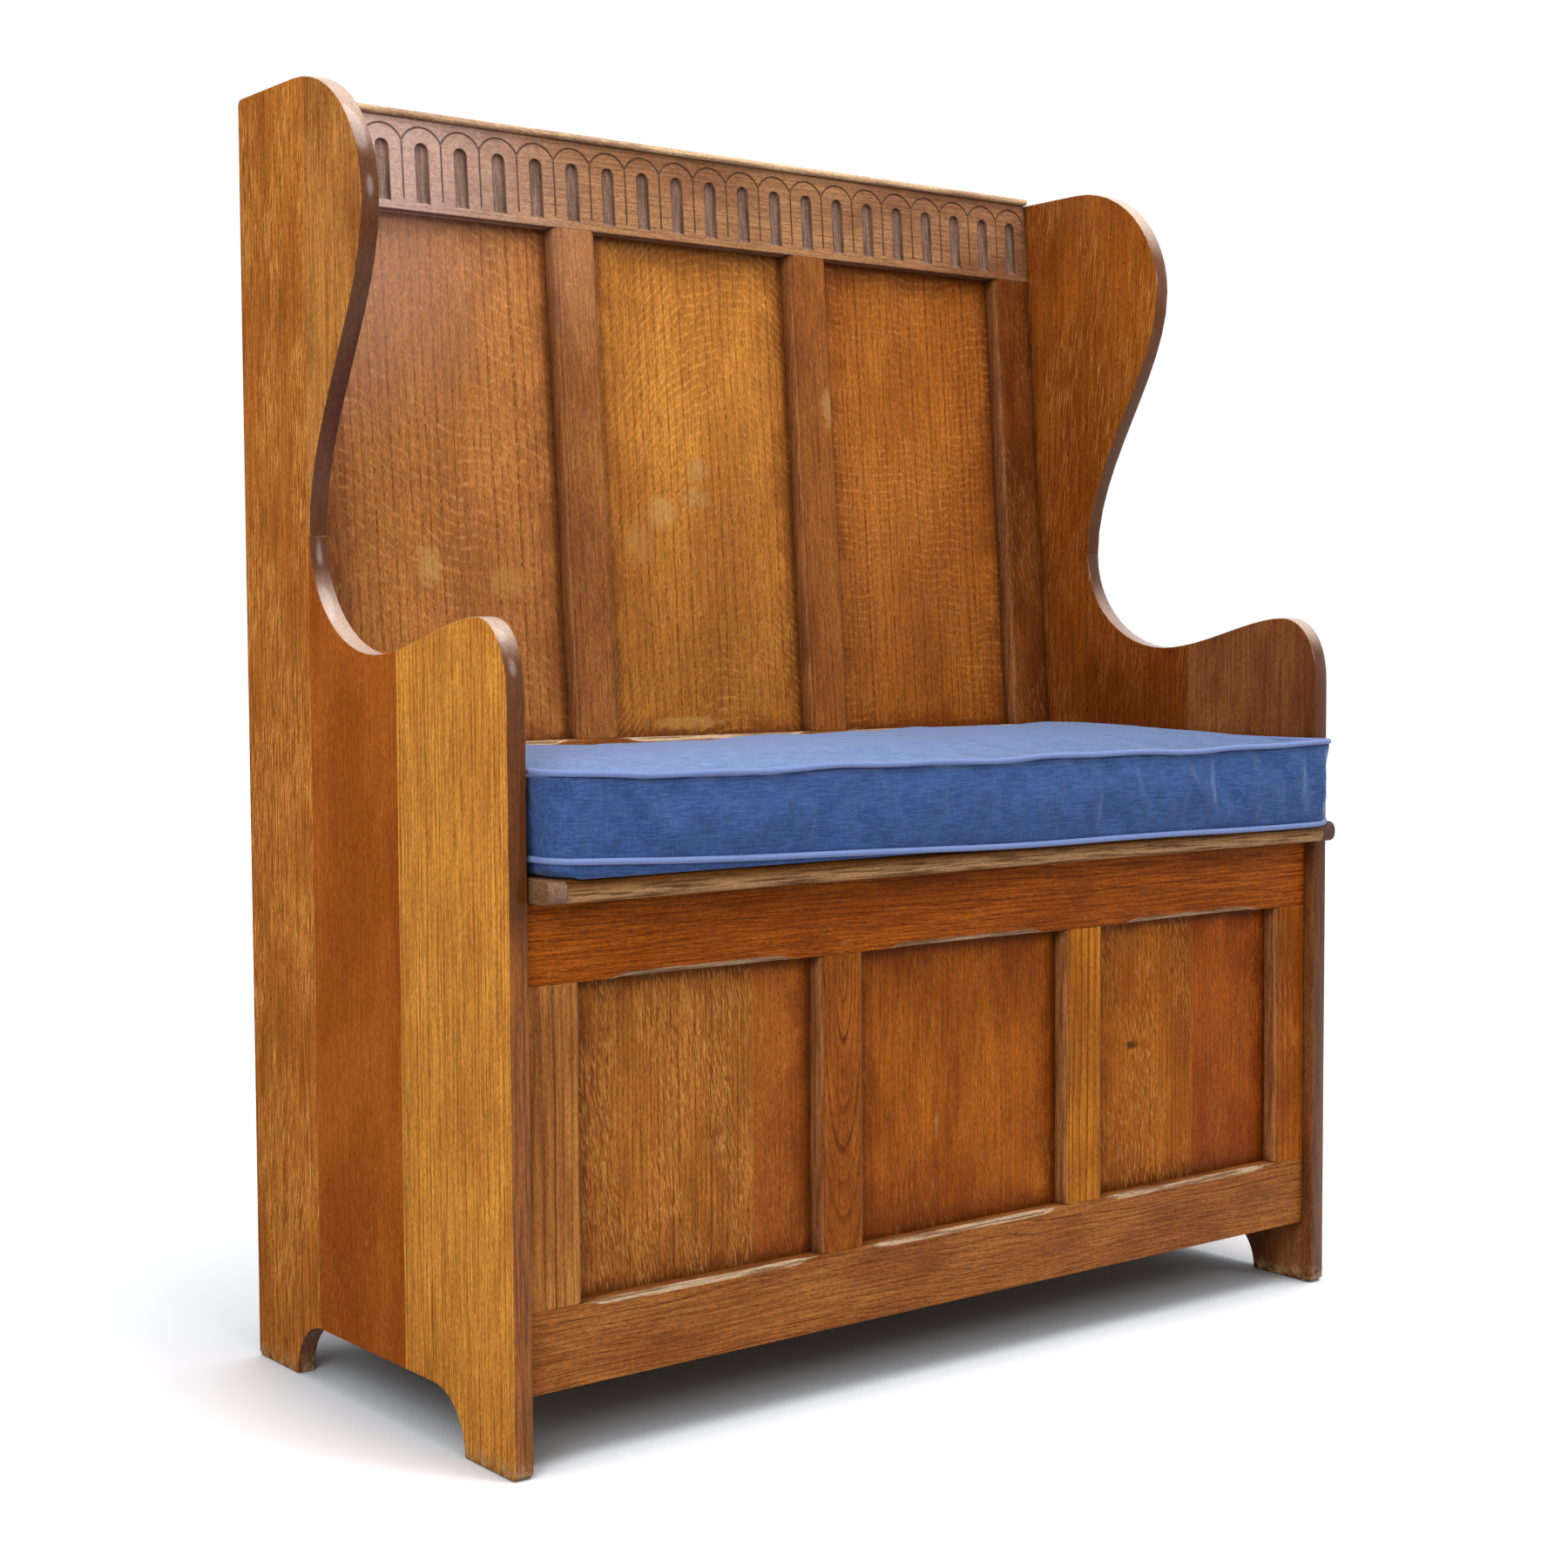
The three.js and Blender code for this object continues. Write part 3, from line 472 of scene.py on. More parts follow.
leftOak = dict(way="side", gloss=0.0, edgeTone="#7b4826")
# the right side's darker tones carry painted shade of its inner face
rightOakShaded = dict(tone="#8f4c17", way="side", rings=0.2, ringSpacing=0.0095, flecks=0.6, log=40,
                fleck=(0.12, 0.016, 0.22), edgeTone="#7b4826", wear=0.8, contrast=0.16)
backMuntin = dict(rings=0.4, flecks=0.2, dashes=9, gloss=0.25)
backPanel = dict(rings=0.69, dashes=190, flecks=0.12, ripple=0.32, contrast=0.12, relief=0.8)
seatOak = dict(tone="#7e4f2b", way="flat", shine=0.45)
cleatOak = dict(way="inward", rings=0.69, ringSpacing=0.0024, wear=0.8, shine=0.48)

boards = {
    # left side
    "left_front_board": dict(leftOak, tone="#e0953e", rings=0.68, ringSpacing=0.0056, contrast=0.1,
        pith=(-1.2, 0.1, 0.004), flecks=0.22, streaks=0.5, waviness=0.004, dashes=28, breaks=0.7, edgeTone="#95541b"),
    "left_middle_board": dict(leftOak, tone="#a5571f", rings=0.11, fleck=(0.1, 0.007, 0.0), streaks=0.2, pores=0.3,
        edgeTone="#6b3f22", contrast=0.13),
    "left_wing_board": dict(leftOak, tone="#bb783a", rings=0.34, flecks=0.45, fleck=(0.05, 0.014, 0.3), streaks=0.49),
    "left_rear_board": dict(leftOak, tone="#c17430", rings=0.4, flecks=0.85, fleck=(0.07, 0.012, 0.36), streaks=0.56,
        contrast=0.08),
    # right side, its tones darkened with painted shade of the inner face
    "right_front_board": dict(tone="#824d2a", way="side", rings=0.29, flecks=0.25, fleck=(0.35, 0.014, 0.05),
        edgeTone="#6d3f22"),
    "right_middle_board": dict(rightOakShaded, edgeTone="#6b3f22"),
    "right_wing_board": rightOakShaded,
    "right_rear_board": rightOakShaded,
    # box front
    "front_top_rail": dict(tone="#a95514", way="level", rings=0.69, ringSpacing=0.0045, pith=(0.31, 0.02, 0.03),
        waviness=0.03, jag=0.003, flecks=0.14, streaks=0.56, contrast=0.16, breaks=0.6),
    "front_bottom_rail": dict(tone="#a1612e", way="level", rings=0.86, ringSpacing=0.0045, pith=(-0.1, 0.03, 0.02),
        waviness=0.03, jag=0.002, flecks=0.16, streaks=0.49, breaks=0.6, contrast=0.18),
    "front_left_stile": dict(tone="#b67639", rings=1, ringSpacing=0.0078, pith=(-0.449, 0.006, 0.014), waviness=0.012,
        flecks=0.05, dashes=7, breaks=0.4, contrast=0.2, streaks=0.42),
    "front_muntin_1": dict(tone="#a45a1d", rings=1, ringSpacing=0.004, pith=(-0.139, 0.05, -0.13), waviness=0.01,
        jag=0.004, flecks=0.03, dashes=60, breaks=0.4, contrast=0.2),
    "front_muntin_2": dict(tone="#bb701e", rings=0.92, ringSpacing=0.009, pith=(0.30, 0.03, 0.03), waviness=0.012,
        flecks=0.05, dashes=7, breaks=0.5),
    "front_right_stile": dict(tone="#a65614", rings=0.8, ringSpacing=0.008, pith=(0.60, 0.03, 0.0), dashes=7,
        breaks=0.5),
    "front_panel_1": dict(tone="#a66226", rings=0.8, ringSpacing=0.0055, pith=(-1.3, 0.1, 0.01), flecks=0.5,
        fleck=(0.16, 0.006, 0.4), dashes=18, breaks=0.6, streaks=0.49, contrast=0.16),
    "front_panel_2": dict(tone="#9d5114", rings=0.16, flecks=0.25, fleck=(0.05, 0.009, 0.2), streaks=0.35),
    "front_panel_3": dict(tone="#a25712", rings=0.63, ringSpacing=0.006, flecks=0.5, fleck=(0.1, 0.006, 0.35),
        dashes=30, breaks=0.6, contrast=0.18),
    # panelled back
    "back_top_rail": dict(tone="#9c6c49", way="level", shadeAndPits=0.45, shadeReach=0.005, rings=0.34,
        pith=(1.3, 0.03, 0.03), flecks=0.15, shine=0.4, gloss=0.25),
    "back_bottom_rail": dict(tone="#8f5124", way="level", rings=0.34, flecks=0.1),
    "back_left_stile": dict(tone="#9a5c2c", rings=0.34, gloss=0.25),
    "back_muntin_1": dict(backMuntin, tone="#995c2d", pith=(-0.3, 0.02, 0.05)),
    "back_muntin_2": dict(backMuntin, tone="#905122", pith=(0.0, 0.02, 0.04)),
    "back_right_stile": dict(tone="#7a4019", rings=0.34, dashes=9),
    "back_panel_1": dict(backPanel, tone="#b77237", ringSpacing=0.0095, pith=(-1.4, 0.3, 0.01),
        rippleShape=(0.012, 0.4, -0.85), gloss=0.35),
    "back_panel_2": dict(backPanel, tone="#b26e2a", ringSpacing=0.0098, pith=(-1.1, 0.3, 0.01),
        rippleShape=(0.0095, 5.0, 0.04), gloss=0.25),
    "back_panel_3": dict(backPanel, tone="#a75f22", ringSpacing=0.0075, pith=(1.7, 0.3, 0.01), ripple=0.3,
        rippleShape=(0.0085, 0.0, 0.0), gloss=0.2),
    # the cap's pale tone is partly the oak's own and partly painted highlight
    "back_cap": dict(tone="#d0a983", way="level", rings=0.34, shine=0.45),
    # lid and hinge rail
    "lid_front_board": dict(tone="#7d5931", way="flat", rings=0.75, ringSpacing=0.005, waviness=0.015,
        pith=(-0.26, 0.03, 0.01), wear=0.9, shine=0.42, streaks=0.56),
    "lid_rear_board": dict(seatOak, rings=0.57, pith=(-0.26, 0.03, 0.01)),
    "lid_left_cleat": dict(cleatOak, tone="#8a6446", pith=(-0.452, 0.46, 0.0)),
    "lid_right_cleat": dict(cleatOak, tone="#5a3d2e", pith=(0.452, 0.46, 0.0)),
    "hinge_rail": dict(seatOak, rings=0.46),
}

# unstained boards that only show when the lid is up
for part, way in (("bearer", "inward"), ("back_cleat", "upright"), ("floor_board", "flat"), ("box_back", "level")):
    for name in nodes:
        if part in name:
            boards[name] = dict(tone="#a07c55", shine=0.62, coat=0.0, wear=0.1, rings=0.35, flecks=0.1, way=way)

panelSeams = {
    # a second board joined on at x, with a stain of its own
    "front_panel_1": {"at": -0.225, "tone": "#a35820", "flecks": 0.18, "rings": 0.22, "streaks": 0.25},
    "front_panel_3": {"at": 0.315, "tone": "#9c4a10", "flecks": 0.2, "rings": 0.25},
}

marks = {
    # old spots and scrapes: centre, half width and half height, colour, amount
    "back_panel_1": [((-0.313, 0.202, 0.7206), (0.015, 0.02), "#c79d5e", 0.42),
                     ((-0.227, 0.201, 0.707), (0.024, 0.016), "#c08a48", 0.3)],
    "back_panel_2": [((-0.043, 0.206, 0.777), (0.02, 0.019), "#c4955a", 0.4),
                     ((-0.074, 0.204, 0.75), (0.016, 0.022), "#bd8c50", 0.22),
                     ((0.0025, 0.2095, 0.8215), (0.014, 0.014), "#a98a60", 0.3),
                     ((0.0, 0.207, 0.7925), (0.018, 0.012), "#a98a60", 0.3),
                     ((-0.024, 0.191, 0.568), (0.05, 0.008), "#c9974f", 0.4)],
    "back_muntin_2": [((0.165, 0.2, 0.8916), (0.01, 0.022), "#c39a62", 0.35)],
    "front_panel_3": [((0.2305, -0.17, 0.2625), (0.008, 0.005), "#24130a", 0.8)],
    "front_panel_2": [((-0.0187, -0.17, 0.2184), (0.0025, 0.014), "#d9b27a", 0.2)],
}

paintedLightAndShade = {
    # painted light and shade, lighter where light falls on tops and panel centres, darker where shade falls above the
    # seat: centre, half width and half height, factor on the tone, amount
    "right_wing_board": [((0.47, -0.1, 1.02), (1, 0.25), 1.3, 0.7), ((0.47, 0, 0.6), (1, 0.22), 0.7, 0.8)],
    "right_rear_board": [((0.47, 0.2, 1.05), (1, 0.2), 1.2, 0.6), ((0.47, 0, 0.6), (1, 0.22), 0.75, 0.8)],
    "right_middle_board": [((0.47, 0, 0.58), (1, 0.25), 0.62, 0.9)],
    "back_panel_1": [((-0.24, 0.2, 0.64), (0.12, 0.15), 0.8, 0.6)],
    "back_panel_2": [((0.0, 0.21, 0.92), (0.14, 0.2), 1.34, 0.85), ((0.04, 0.2, 0.6), (0.16, 0.14), 0.85, 0.6)],
    "back_panel_3": [((0.25, 0.21, 0.88), (0.14, 0.18), 1.2, 0.6), ((0.33, 0.2, 0.6), (0.14, 0.12), 0.85, 0.6)],
    "front_panel_1": [((-0.29, -0.17, 0.27), (0.1, 0.13), 1.3, 0.6)],
    "front_panel_2": [((-0.01, -0.17, 0.26), (0.09, 0.12), 1.25, 0.6)],
    "front_panel_3": [((0.25, -0.17, 0.27), (0.08, 0.13), 1.3, 0.6)],
}

paintedSheens = {
    # painted sheen: pale patches where the polish reflects the light
    "back_top_rail": [((-0.5, 0.2, 1.09), (0.36, 0.3), "#dcbfb6", 0.8)],
    "back_muntin_1": [((-0.16, 0.2, 1.04), (0.1, 0.14), "#cba48c", 0.12)],
    "back_panel_1": [((-0.46, 0.21, 1.04), (0.26, 0.22), "#cf9f88", 0.6)],
}

wood = {
    "fineUnevenness": 0.16,   # of the colour, from one millimetre to the next
    "polish": "#c9945c",      # warm shine of old wax
    "ray": "#c89a5e",         # of the ray flecks
    "arris": 0.0016,
    "grainDepth": 0.0004,
}
# painted shade at the edges of the panels
shadedPanels = {"reach": 0.034, "amount": 0.85, "tone": 0.42, "inset": 0.008}
flaws = {"spacing": 0.021, "size": 0.0008, "pale": 0.7, "pits": 0.6}
# pale chamfers, worn and with a painted sheen of the light
chamferSheenAndWear = {"colour": "#bfa78a", "dark": "#7d5f45", "amount": 0.85, "cornerShade": 0.2}
# painted shade in the small step beside the uprights' mouldings
quirkShade = {"reach": 0.0018, "amount": 0.7}
# the uprights' mouldings, paler on their side faces
paleMouldings = {"colour": "#9c6d46", "dark": "#6c452b", "amount": 0.7, "backAmount": 0.4, "cornerShade": 0.09}
carving = {"dark": "#5b473e", "pale": "#866b5e", "amount": 0.88, "deepest": 0.008, "lean": 4.13}
feet = {"height": 0.02, "colour": "#b8986c", "amount": 0.75}
# the lid's front edge, with painted shade on its upper part under the cushion and painted light on its lower part
noseLightAndShade = {"top": 0.465, "low": 0.452, "upper": "#653a12", "lower": "#b68b62", "amount": 0.9}
# sawn edges, darkened and polished by hands above the seat and in front of the back, with a painted highlight where
# they face up and to the front
handledEdgesAndHighlight = {"low": 0.38, "high": 0.45, "rear": 0.225, "fore": 0.17, "tone": "#542b10", "amount": 0.8, "coat": 0.5,
           "coatRoughness": 0.16, "pale": "#d6bba8", "highlightAndShade": 0.7}
cleatEnds = {"lid_left_cleat": ("#8a6a56", "#4f382d"), "lid_right_cleat": ("#60453a", "#3d2a26")}
chamfered = ("front_bottom_rail", "front_top_rail", "back_bottom_rail")
footed = ("left_front_board", "left_rear_board", "right_front_board", "right_rear_board")
uprights = [n for n in nodes if "stile" in n or "muntin" in n]


# painted shade where pieces meet
def cornerShade(position, reach, amount):
    return placeGroup(cornerShadeGroup, {"Position": position, "Reach": reach, "Amount": amount})["Shade And Pits"]


def faces(direction, kind, start=0.9, full=0.97):
    return placeGroup(facing, {"Direction": direction, "Start": start, "Full": full})[kind]


def blend(colour, mask, amount, layer):
    return mixColour(times(mask, amount), colour, layer)


def spotMask(position, centre, half, amount, core=0.45, ragged=1.6):
    return placeGroup(spot, {
        "Position": position, "Centre": centre, "Size": (half[0], 1, half[1]), "Amount": amount, "Core": core,
        "Ragged": ragged,
    })["Mask"]


def fibres(position, aside, up, rough):
    # fine grain seen on a face to the front
    return noiseAt(combine(times(dot(position, sideways), aside), 0.0, times(dot(position, upward), up)), 3, rough)


def boardSurface(position, values, offset, panelEdgeShade, shadeAndPits, wear):
    sockets = {"Position": position, "Offset": offset, **ways[values["way"]], "Ring Spacing": values["ringSpacing"]}
    sockets.update({label: values[label.lower()] for label in ("Waviness", "Jag", "Dashes", "Breaks")})
    for key, labels in (("pith", ("Pith Across", "Pith Depth", "Taper")),
                        ("fleck", ("Fleck Slant", "Fleck Length", "Fleck Cover")),
                        ("rippleShape", ("Ripple Pitch", "Ripple Arch", "Ripple Centre"))):
        sockets.update(zip(labels, values[key]))
    figure = placeGroup(oakFigure, sockets)
    tone, contrast = values["tone"], values["contrast"]
    strengths = {"Ring": "rings", "Streak": "streaks", "Pore": "pores", "Fleck": "flecks", "Ripple": "ripple"}
    made = placeGroup(oakColour, {
        **{mask: figure[mask] for mask in figureMasks},
        **{label + " Strength": values[key] for label, key in strengths.items()},
        "Panel Edge Shade": panelEdgeShade,
        "Shade And Pits": shadeAndPits,
        "Wear": wear,
        "Light": shade(tone, 1 + contrast),
        "Dark": shade(tone, 1 - contrast),
        "Ring Colour": shade(tone, 0.27),
        "Fleck Colour": mixed(shade(tone, 1.7), linear(wood["ray"]), 0.4),
        "Panel Edge Shade Colour": shade(tone, shadedPanels["tone"]),
        "Shade And Pits Colour": linear(tone, 0.09),
        "Wear Colour": shade(tone, 1.6),
        "Shine": values["shine"],
    })
    return made, figure


def paintPanelEdgeShade(name, position):
    low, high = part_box(name)
    inset = Vector((shadedPanels["inset"], 0, shadedPanels["inset"]))
    return placeGroup(panelShade, {
        "Position": position, "Low": low + inset, "High": high - inset,
        "Reach": shadedPanels["reach"], "Amount": shadedPanels["amount"],
    })["Shade And Pits"]


def sawnColour(position, values, figure, wornAndHighlit):
    tone = values["edgeTone"]
    sawn = mixColour(figure["Streaks"], linear(tone), linear(tone, 0.5))
    held = times(remap(dot(position, upward), handledEdgesAndHighlight["low"], handledEdgesAndHighlight["high"]),
                 remap(dot(position, backward), handledEdgesAndHighlight["rear"], handledEdgesAndHighlight["fore"]))
    sawn = blend(sawn, held, handledEdgesAndHighlight["amount"], linear(handledEdgesAndHighlight["tone"]))
    # painted highlight where the sawn edge faces up and to the front
    sawn = blend(sawn, faces((0, -0.4, 0.92), "Soft", 0.62, 1.0), handledEdgesAndHighlight["highlightAndShade"], linear(handledEdgesAndHighlight["pale"]))
    return mixColour(wornAndHighlit, sawn, shade(values["tone"], 1.8))


def paleBandColour(look, tone, figure, shadeAndPits):
    bare = mixColour(figure["Streaks"], linear(look["colour"]), linear(look["dark"]))
    # painted shade and dark pits darken the pale band
    return mixColour(shadeAndPits, bare, linear(tone, look["cornerShade"]))


def noseLightAndShadeLayer(position):
    # painted shade at the top of the nose fading to painted light below
    fall = remap(dot(position, upward), noseLightAndShade["top"], noseLightAndShade["low"])
    highlightAndShade = mixColour(fall, linear(noseLightAndShade["upper"]), linear(noseLightAndShade["lower"]))
    dark = remap(fibres(position, 16, 420, 0.6), 0.44, 0.62, 0, 0.85)
    return faces((0, -1, 0), "Mask", 0.25, 0.55), mixColour(dark, highlightAndShade, linear(noseLightAndShade["upper"], 0.4))


def carvedLayer(name, position, shadeAndPits):
    low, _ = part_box(name)
    lean = math.radians(carving["lean"])
    inward = (0, math.cos(lean), -math.sin(lean))
    end = low.y * math.cos(lean) - low.z * math.sin(lean) + carving["deepest"]
    behind = placeGroup(recess, {"Position": position, "Point": (0, low.y, low.z), "Inward": inward})["Depth"]
    behind = times(behind, remap(dot(position, inward), end, end + 0.001, 1, 0))
    dark, pale = linear(carving["dark"]), linear(carving["pale"])
    cut = mixColour(remap(fibres(position, 420, 26, 0.65), 0.38, 0.62), dark, pale)
    # painted shade in the carving's corners
    return behind, mixColour(shadeAndPits, cut, linear(carving["dark"], 0.4))


def makeBoardMaterial(name, index):
    values = {**plainBoard, **boards[name]}
    material, surface = newMaterial("oak_" + name)
    position = objectPlace()
    log = values["log"] or index
    offset = (1.7 * log, 0.37 * log, 2.9 * log)
    # wear and painted highlight along the arrises
    rounded = placeGroup(edgeWearAndHighlight, {"Position": position, "Radius": wood["arris"], "Amount": values["wear"]})
    # painted shade where pieces meet, and dark pits
    shadeAndPits = cornerShade(position, values["shadeReach"], values["shadeAndPits"])
    # painted shade towards a panel's edges
    panelEdgeShade = paintPanelEdgeShade(name, position) if "panel" in name else 0.0
    if name in uprights:
        # painted shade in the step beside the moulding
        shadeAndPits = larger(shadeAndPits, cornerShade(position, quirkShade["reach"], quirkShade["amount"]))
    dots = placeGroup(specks, {"Position": position, "Spacing": flaws["spacing"], "Size": flaws["size"]})
    wear = larger(rounded["Wear"], times(dots["Pale"], flaws["pale"]))
    shadeAndPits = larger(shadeAndPits, times(dots["Pits"], flaws["pits"]))
    made, figure = boardSurface(position, values, offset, panelEdgeShade, shadeAndPits, wear)
    colour, rough, coat = made["Color"], made["Roughness"], values["coat"]
    if name in panelSeams:
        seam = panelSeams[name]
        shifted = (offset[0] + 0.6, offset[1] + 4.1, offset[2])
        other, _ = boardSurface(position, {**values, **seam}, shifted, panelEdgeShade, shadeAndPits, wear)
        beyond = remap(dot(position, sideways), seam["at"] - 0.003, seam["at"] + 0.003)
        colour = mixColour(beyond, colour, other["Color"])
    if values["edgeTone"]:
        edge = faces(sideways, "Aside")
        colour = mixColour(edge, colour, sawnColour(position, values, figure, rounded["Wear"]))
        rough = minus(rough, times(edge, 0.08))
        coat = times(edge, handledEdgesAndHighlight["coat"])
    if name.startswith("right_"):
        # its inner face's tone carries painted shade; its outer face took the stain of the left side
        twin = linear(boards[name.replace("right", "left")]["tone"])
        lift = tuple((a / b) ** 0.85 for a, b in zip(twin[:3], linear(values["tone"])[:3])) + (1,)
        colour = mixColour(faces(sideways, "Mask"), colour, mixColour(1.0, colour, lift, "MULTIPLY"))
    if name in footed:
        patchy = remap(noiseAt(scaled(position, 90.0), 4, 0.65), 0.4, 0.62)
        scuffed = times(remap(dot(position, upward), feet["height"], 0), patchy)
        colour = blend(colour, scuffed, feet["amount"], linear(feet["colour"]))
    if name in chamfered:
        slope = math.sqrt(0.5)
        # worn chamfers with a painted sheen
        cut = faces((0, -slope, slope if "bottom" in name else -slope), "Mask", 0.93, 0.98)
        colour = blend(colour, cut, chamferSheenAndWear["amount"], paleBandColour(chamferSheenAndWear, values["tone"], figure, shadeAndPits))
    if name == "lid_front_board":
        # painted shade and light on the lid's nose
        front, layer = noseLightAndShadeLayer(position)
        colour = blend(colour, front, noseLightAndShade["amount"], layer)
    if name in cleatEnds:
        pale, dark = (linear(tone) for tone in cleatEnds[name])
        colour = mixColour(faces((0, -1, 0), "Mask", 0.5, 0.8), colour, mixColour(figure["Rings"], pale, dark))
    if name in uprights:
        amount = paleMouldings["backAmount" if name.startswith("back") else "amount"]
        layer = paleBandColour(paleMouldings, values["tone"], figure, shadeAndPits)
        colour = blend(colour, faces(sideways, "Either", 0.1, 0.4), amount, layer)
    # painted sheen
    for centre, half, tone, amount in paintedSheens.get(name, []):
        colour = mixColour(spotMask(position, centre, half, amount, 0.0, 0.35), colour, linear(tone))
    if name == "back_top_rail":
        behind, layer = carvedLayer(name, position, shadeAndPits)
        colour = blend(colour, behind, carving["amount"], layer)
    colour = placeGroup(fineGrain, {
        "Color": colour, "Position": position, **ways[values["way"]], "Depth": wood["fineUnevenness"],
    })["Color"]
    # painted light and shade
    for centre, half, factor, amount in paintedLightAndShade.get(name, []):
        tint = (factor, factor ** 1.25, factor ** 1.1, 1)
        mask = spotMask(position, centre, half, amount, 0.1, 0.5)
        colour = mixColour(mask, colour, mixColour(1.0, colour, tint, "MULTIPLY"))
    for centre, half, tone, amount in marks.get(name, []):
        colour = mixColour(spotMask(position, centre, half, amount), colour, linear(tone))
    bump = add("ShaderNodeBump", {"Height": made["Height"], "Normal": rounded["Normal"],
                                  "Distance": wood["grainDepth"], "Strength": values["relief"]})
    feed(surface, {
        "Base Color": colour, "Roughness": rough, "Normal": bump.outputs[0],
        "Specular IOR Level": values["gloss"], "Specular Tint": linear(wood["polish"]),
        "Coat Weight": coat, "Coat Roughness": handledEdgesAndHighlight["coatRoughness"],
    })
    return material


def dress(node, material):
    node.data.materials.clear()
    node.data.materials.append(material)


def finishBoards():
    for index, name in enumerate(sorted(boards)):
        dress(nodes[name], makeBoardMaterial(name, index))


def softenShading():
    # joins the facets and shades gentle bends smooth
    tree = bpy.data.node_groups.new("gentleBends", "GeometryNodeTree")
    current["tree"] = tree
    for way in ("INPUT", "OUTPUT"):
        tree.interface.new_socket(name="Geometry", in_out=way, socket_type="NodeSocketGeometry")
    start = tree.nodes.new("NodeGroupInput").outputs[0]
    merged = add("GeometryNodeMergeByDistance", {"Geometry": start, "Distance": 0.00002}).outputs[0]
    bare = add("GeometryNodeRemoveAttribute", {"Geometry": merged, "Name": "custom_normal"}).outputs[0]
    angle = add("GeometryNodeInputMeshEdgeAngle").outputs[0]
    sharp = add("FunctionNodeCompare", {0: angle, 1: math.radians(24)}, operation="GREATER_THAN").outputs[0]
    smooth = add("GeometryNodeSetShadeSmooth", {"Geometry": bare, "Shade Smooth": True}, domain="FACE").outputs[0]
    sockets = {"Geometry": smooth, "Selection": sharp, "Shade Smooth": False}
    creased = add("GeometryNodeSetShadeSmooth", sockets, domain="EDGE").outputs[0]
    tree.links.new(creased, tree.nodes.new("NodeGroupOutput").inputs[0])
    for name in [*boards, *metalParts]:
        nodes[name].modifiers.new("gentleBends", "NODES").node_group = tree


# Hinges

brass = {"colour": "#a2823f", "dark": "#4a3519", "roughness": 0.34, "tarnished": 0.59}
metalParts = [n for n in nodes if n.startswith("hinge_") and n != "hinge_rail"]


def finishHinges():
    material, surface = newMaterial("agedBrass")
    tarnish = remap(noiseAt(scaled(objectPlace(), 210.0), 4, 0.6), 0.35, 0.65)
    feed(surface, {
        "Base Color": mixColour(tarnish, linear(brass["dark"]), linear(brass["colour"])),
        "Roughness": remap(tarnish, 0, 1, brass["tarnished"], brass["roughness"]),
        "Metallic": 1,
    })
    for name in metalParts:
        dress(nodes[name], material)


# Pegs through the joints of the box front

pegs = {
    "radius": 0.0031,
    "proud": 0.00025,
    "places": [(-0.436, 0.3905), (-0.4376, 0.114), (-0.138, 0.391), (-0.140, 0.116), (0.152, 0.3915), (0.151, 0.115),
               (0.443, 0.390), (0.442, 0.113)],
    "tone": "#9c5a26",
    "sides": 20,
    "depth": 0.004,
    "crown": 0.0004,
}


def newMesh(name, verts, polygons, smooth=False):
    mesh = bpy.data.meshes.new(name)
    mesh.from_pydata(verts, [], polygons)
    mesh.polygons.foreach_set("use_smooth", [smooth] * len(mesh.polygons))
    mesh.update()
    return mesh


def ringFaces(rows, count):
    # quads between closed rows of points, and a face over each end
    quads = []
    for row in range(rows - 1):
        for i in range(count):
            a, b = row * count + i, row * count + (i + 1) % count
            quads.append((a, b, b + count, a + count))
    return quads + [tuple(reversed(range(count))), tuple(range((rows - 1) * count, rows * count))]


def pegMesh():
    # a short pin along Y with a slightly rounded face at -Y
    radius, crown, sides = pegs["radius"], pegs["crown"], pegs["sides"]
    rings = [(radius, pegs["depth"]), (radius, crown), (radius * 0.86, 0), (radius * 0.45, -crown * 0.4)]
    turns = [math.tau * i / sides for i in range(sides)]
    verts = [(ring * math.cos(turn), y, ring * math.sin(turn)) for ring, y in rings for turn in turns]
    return newMesh("peg", verts, ringFaces(len(rings), sides), True)


def makePegs():
    material, surface = newMaterial("pegEndGrain")
    position = objectPlace()
    figure = placeGroup(oakFigure, {
        "Position": position, **ways["inward"], "Pith Across": 0.01, "Pith Depth": 0.004, "Ring Spacing": 0.0014,
        "Waviness": 0.001,
    })
    tone = pegs["tone"]
    # painted shade round the peg's face
    made = placeGroup(oakColour, {
        **{mask: figure[mask] for mask in ("Rings", "Pores", "Tone")}, "Shade And Pits": cornerShade(position, 0.0012, 0.6),
        "Ring Strength": 0.3, "Streak Strength": 0.0, "Shine": 0.5,
        "Light": linear(tone, 1.1), "Dark": linear(tone, 0.8), "Ring Colour": linear(tone, 0.5),
    })
    feed(surface, {"Base Color": made["Color"], "Roughness": made["Roughness"], "Specular IOR Level": 0.1})
    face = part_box("front_top_rail")[0].y
    for i, (x, z) in enumerate(pegs["places"]):
        mesh = pegMesh()
        mesh.materials.append(material)
        peg = place(f"peg_{i + 1}", mesh)
        peg.location = (x, face - pegs["proud"], z)
        peg.rotation_euler.y = 0.7 * i
        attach(peg, "settle")


# Cushion

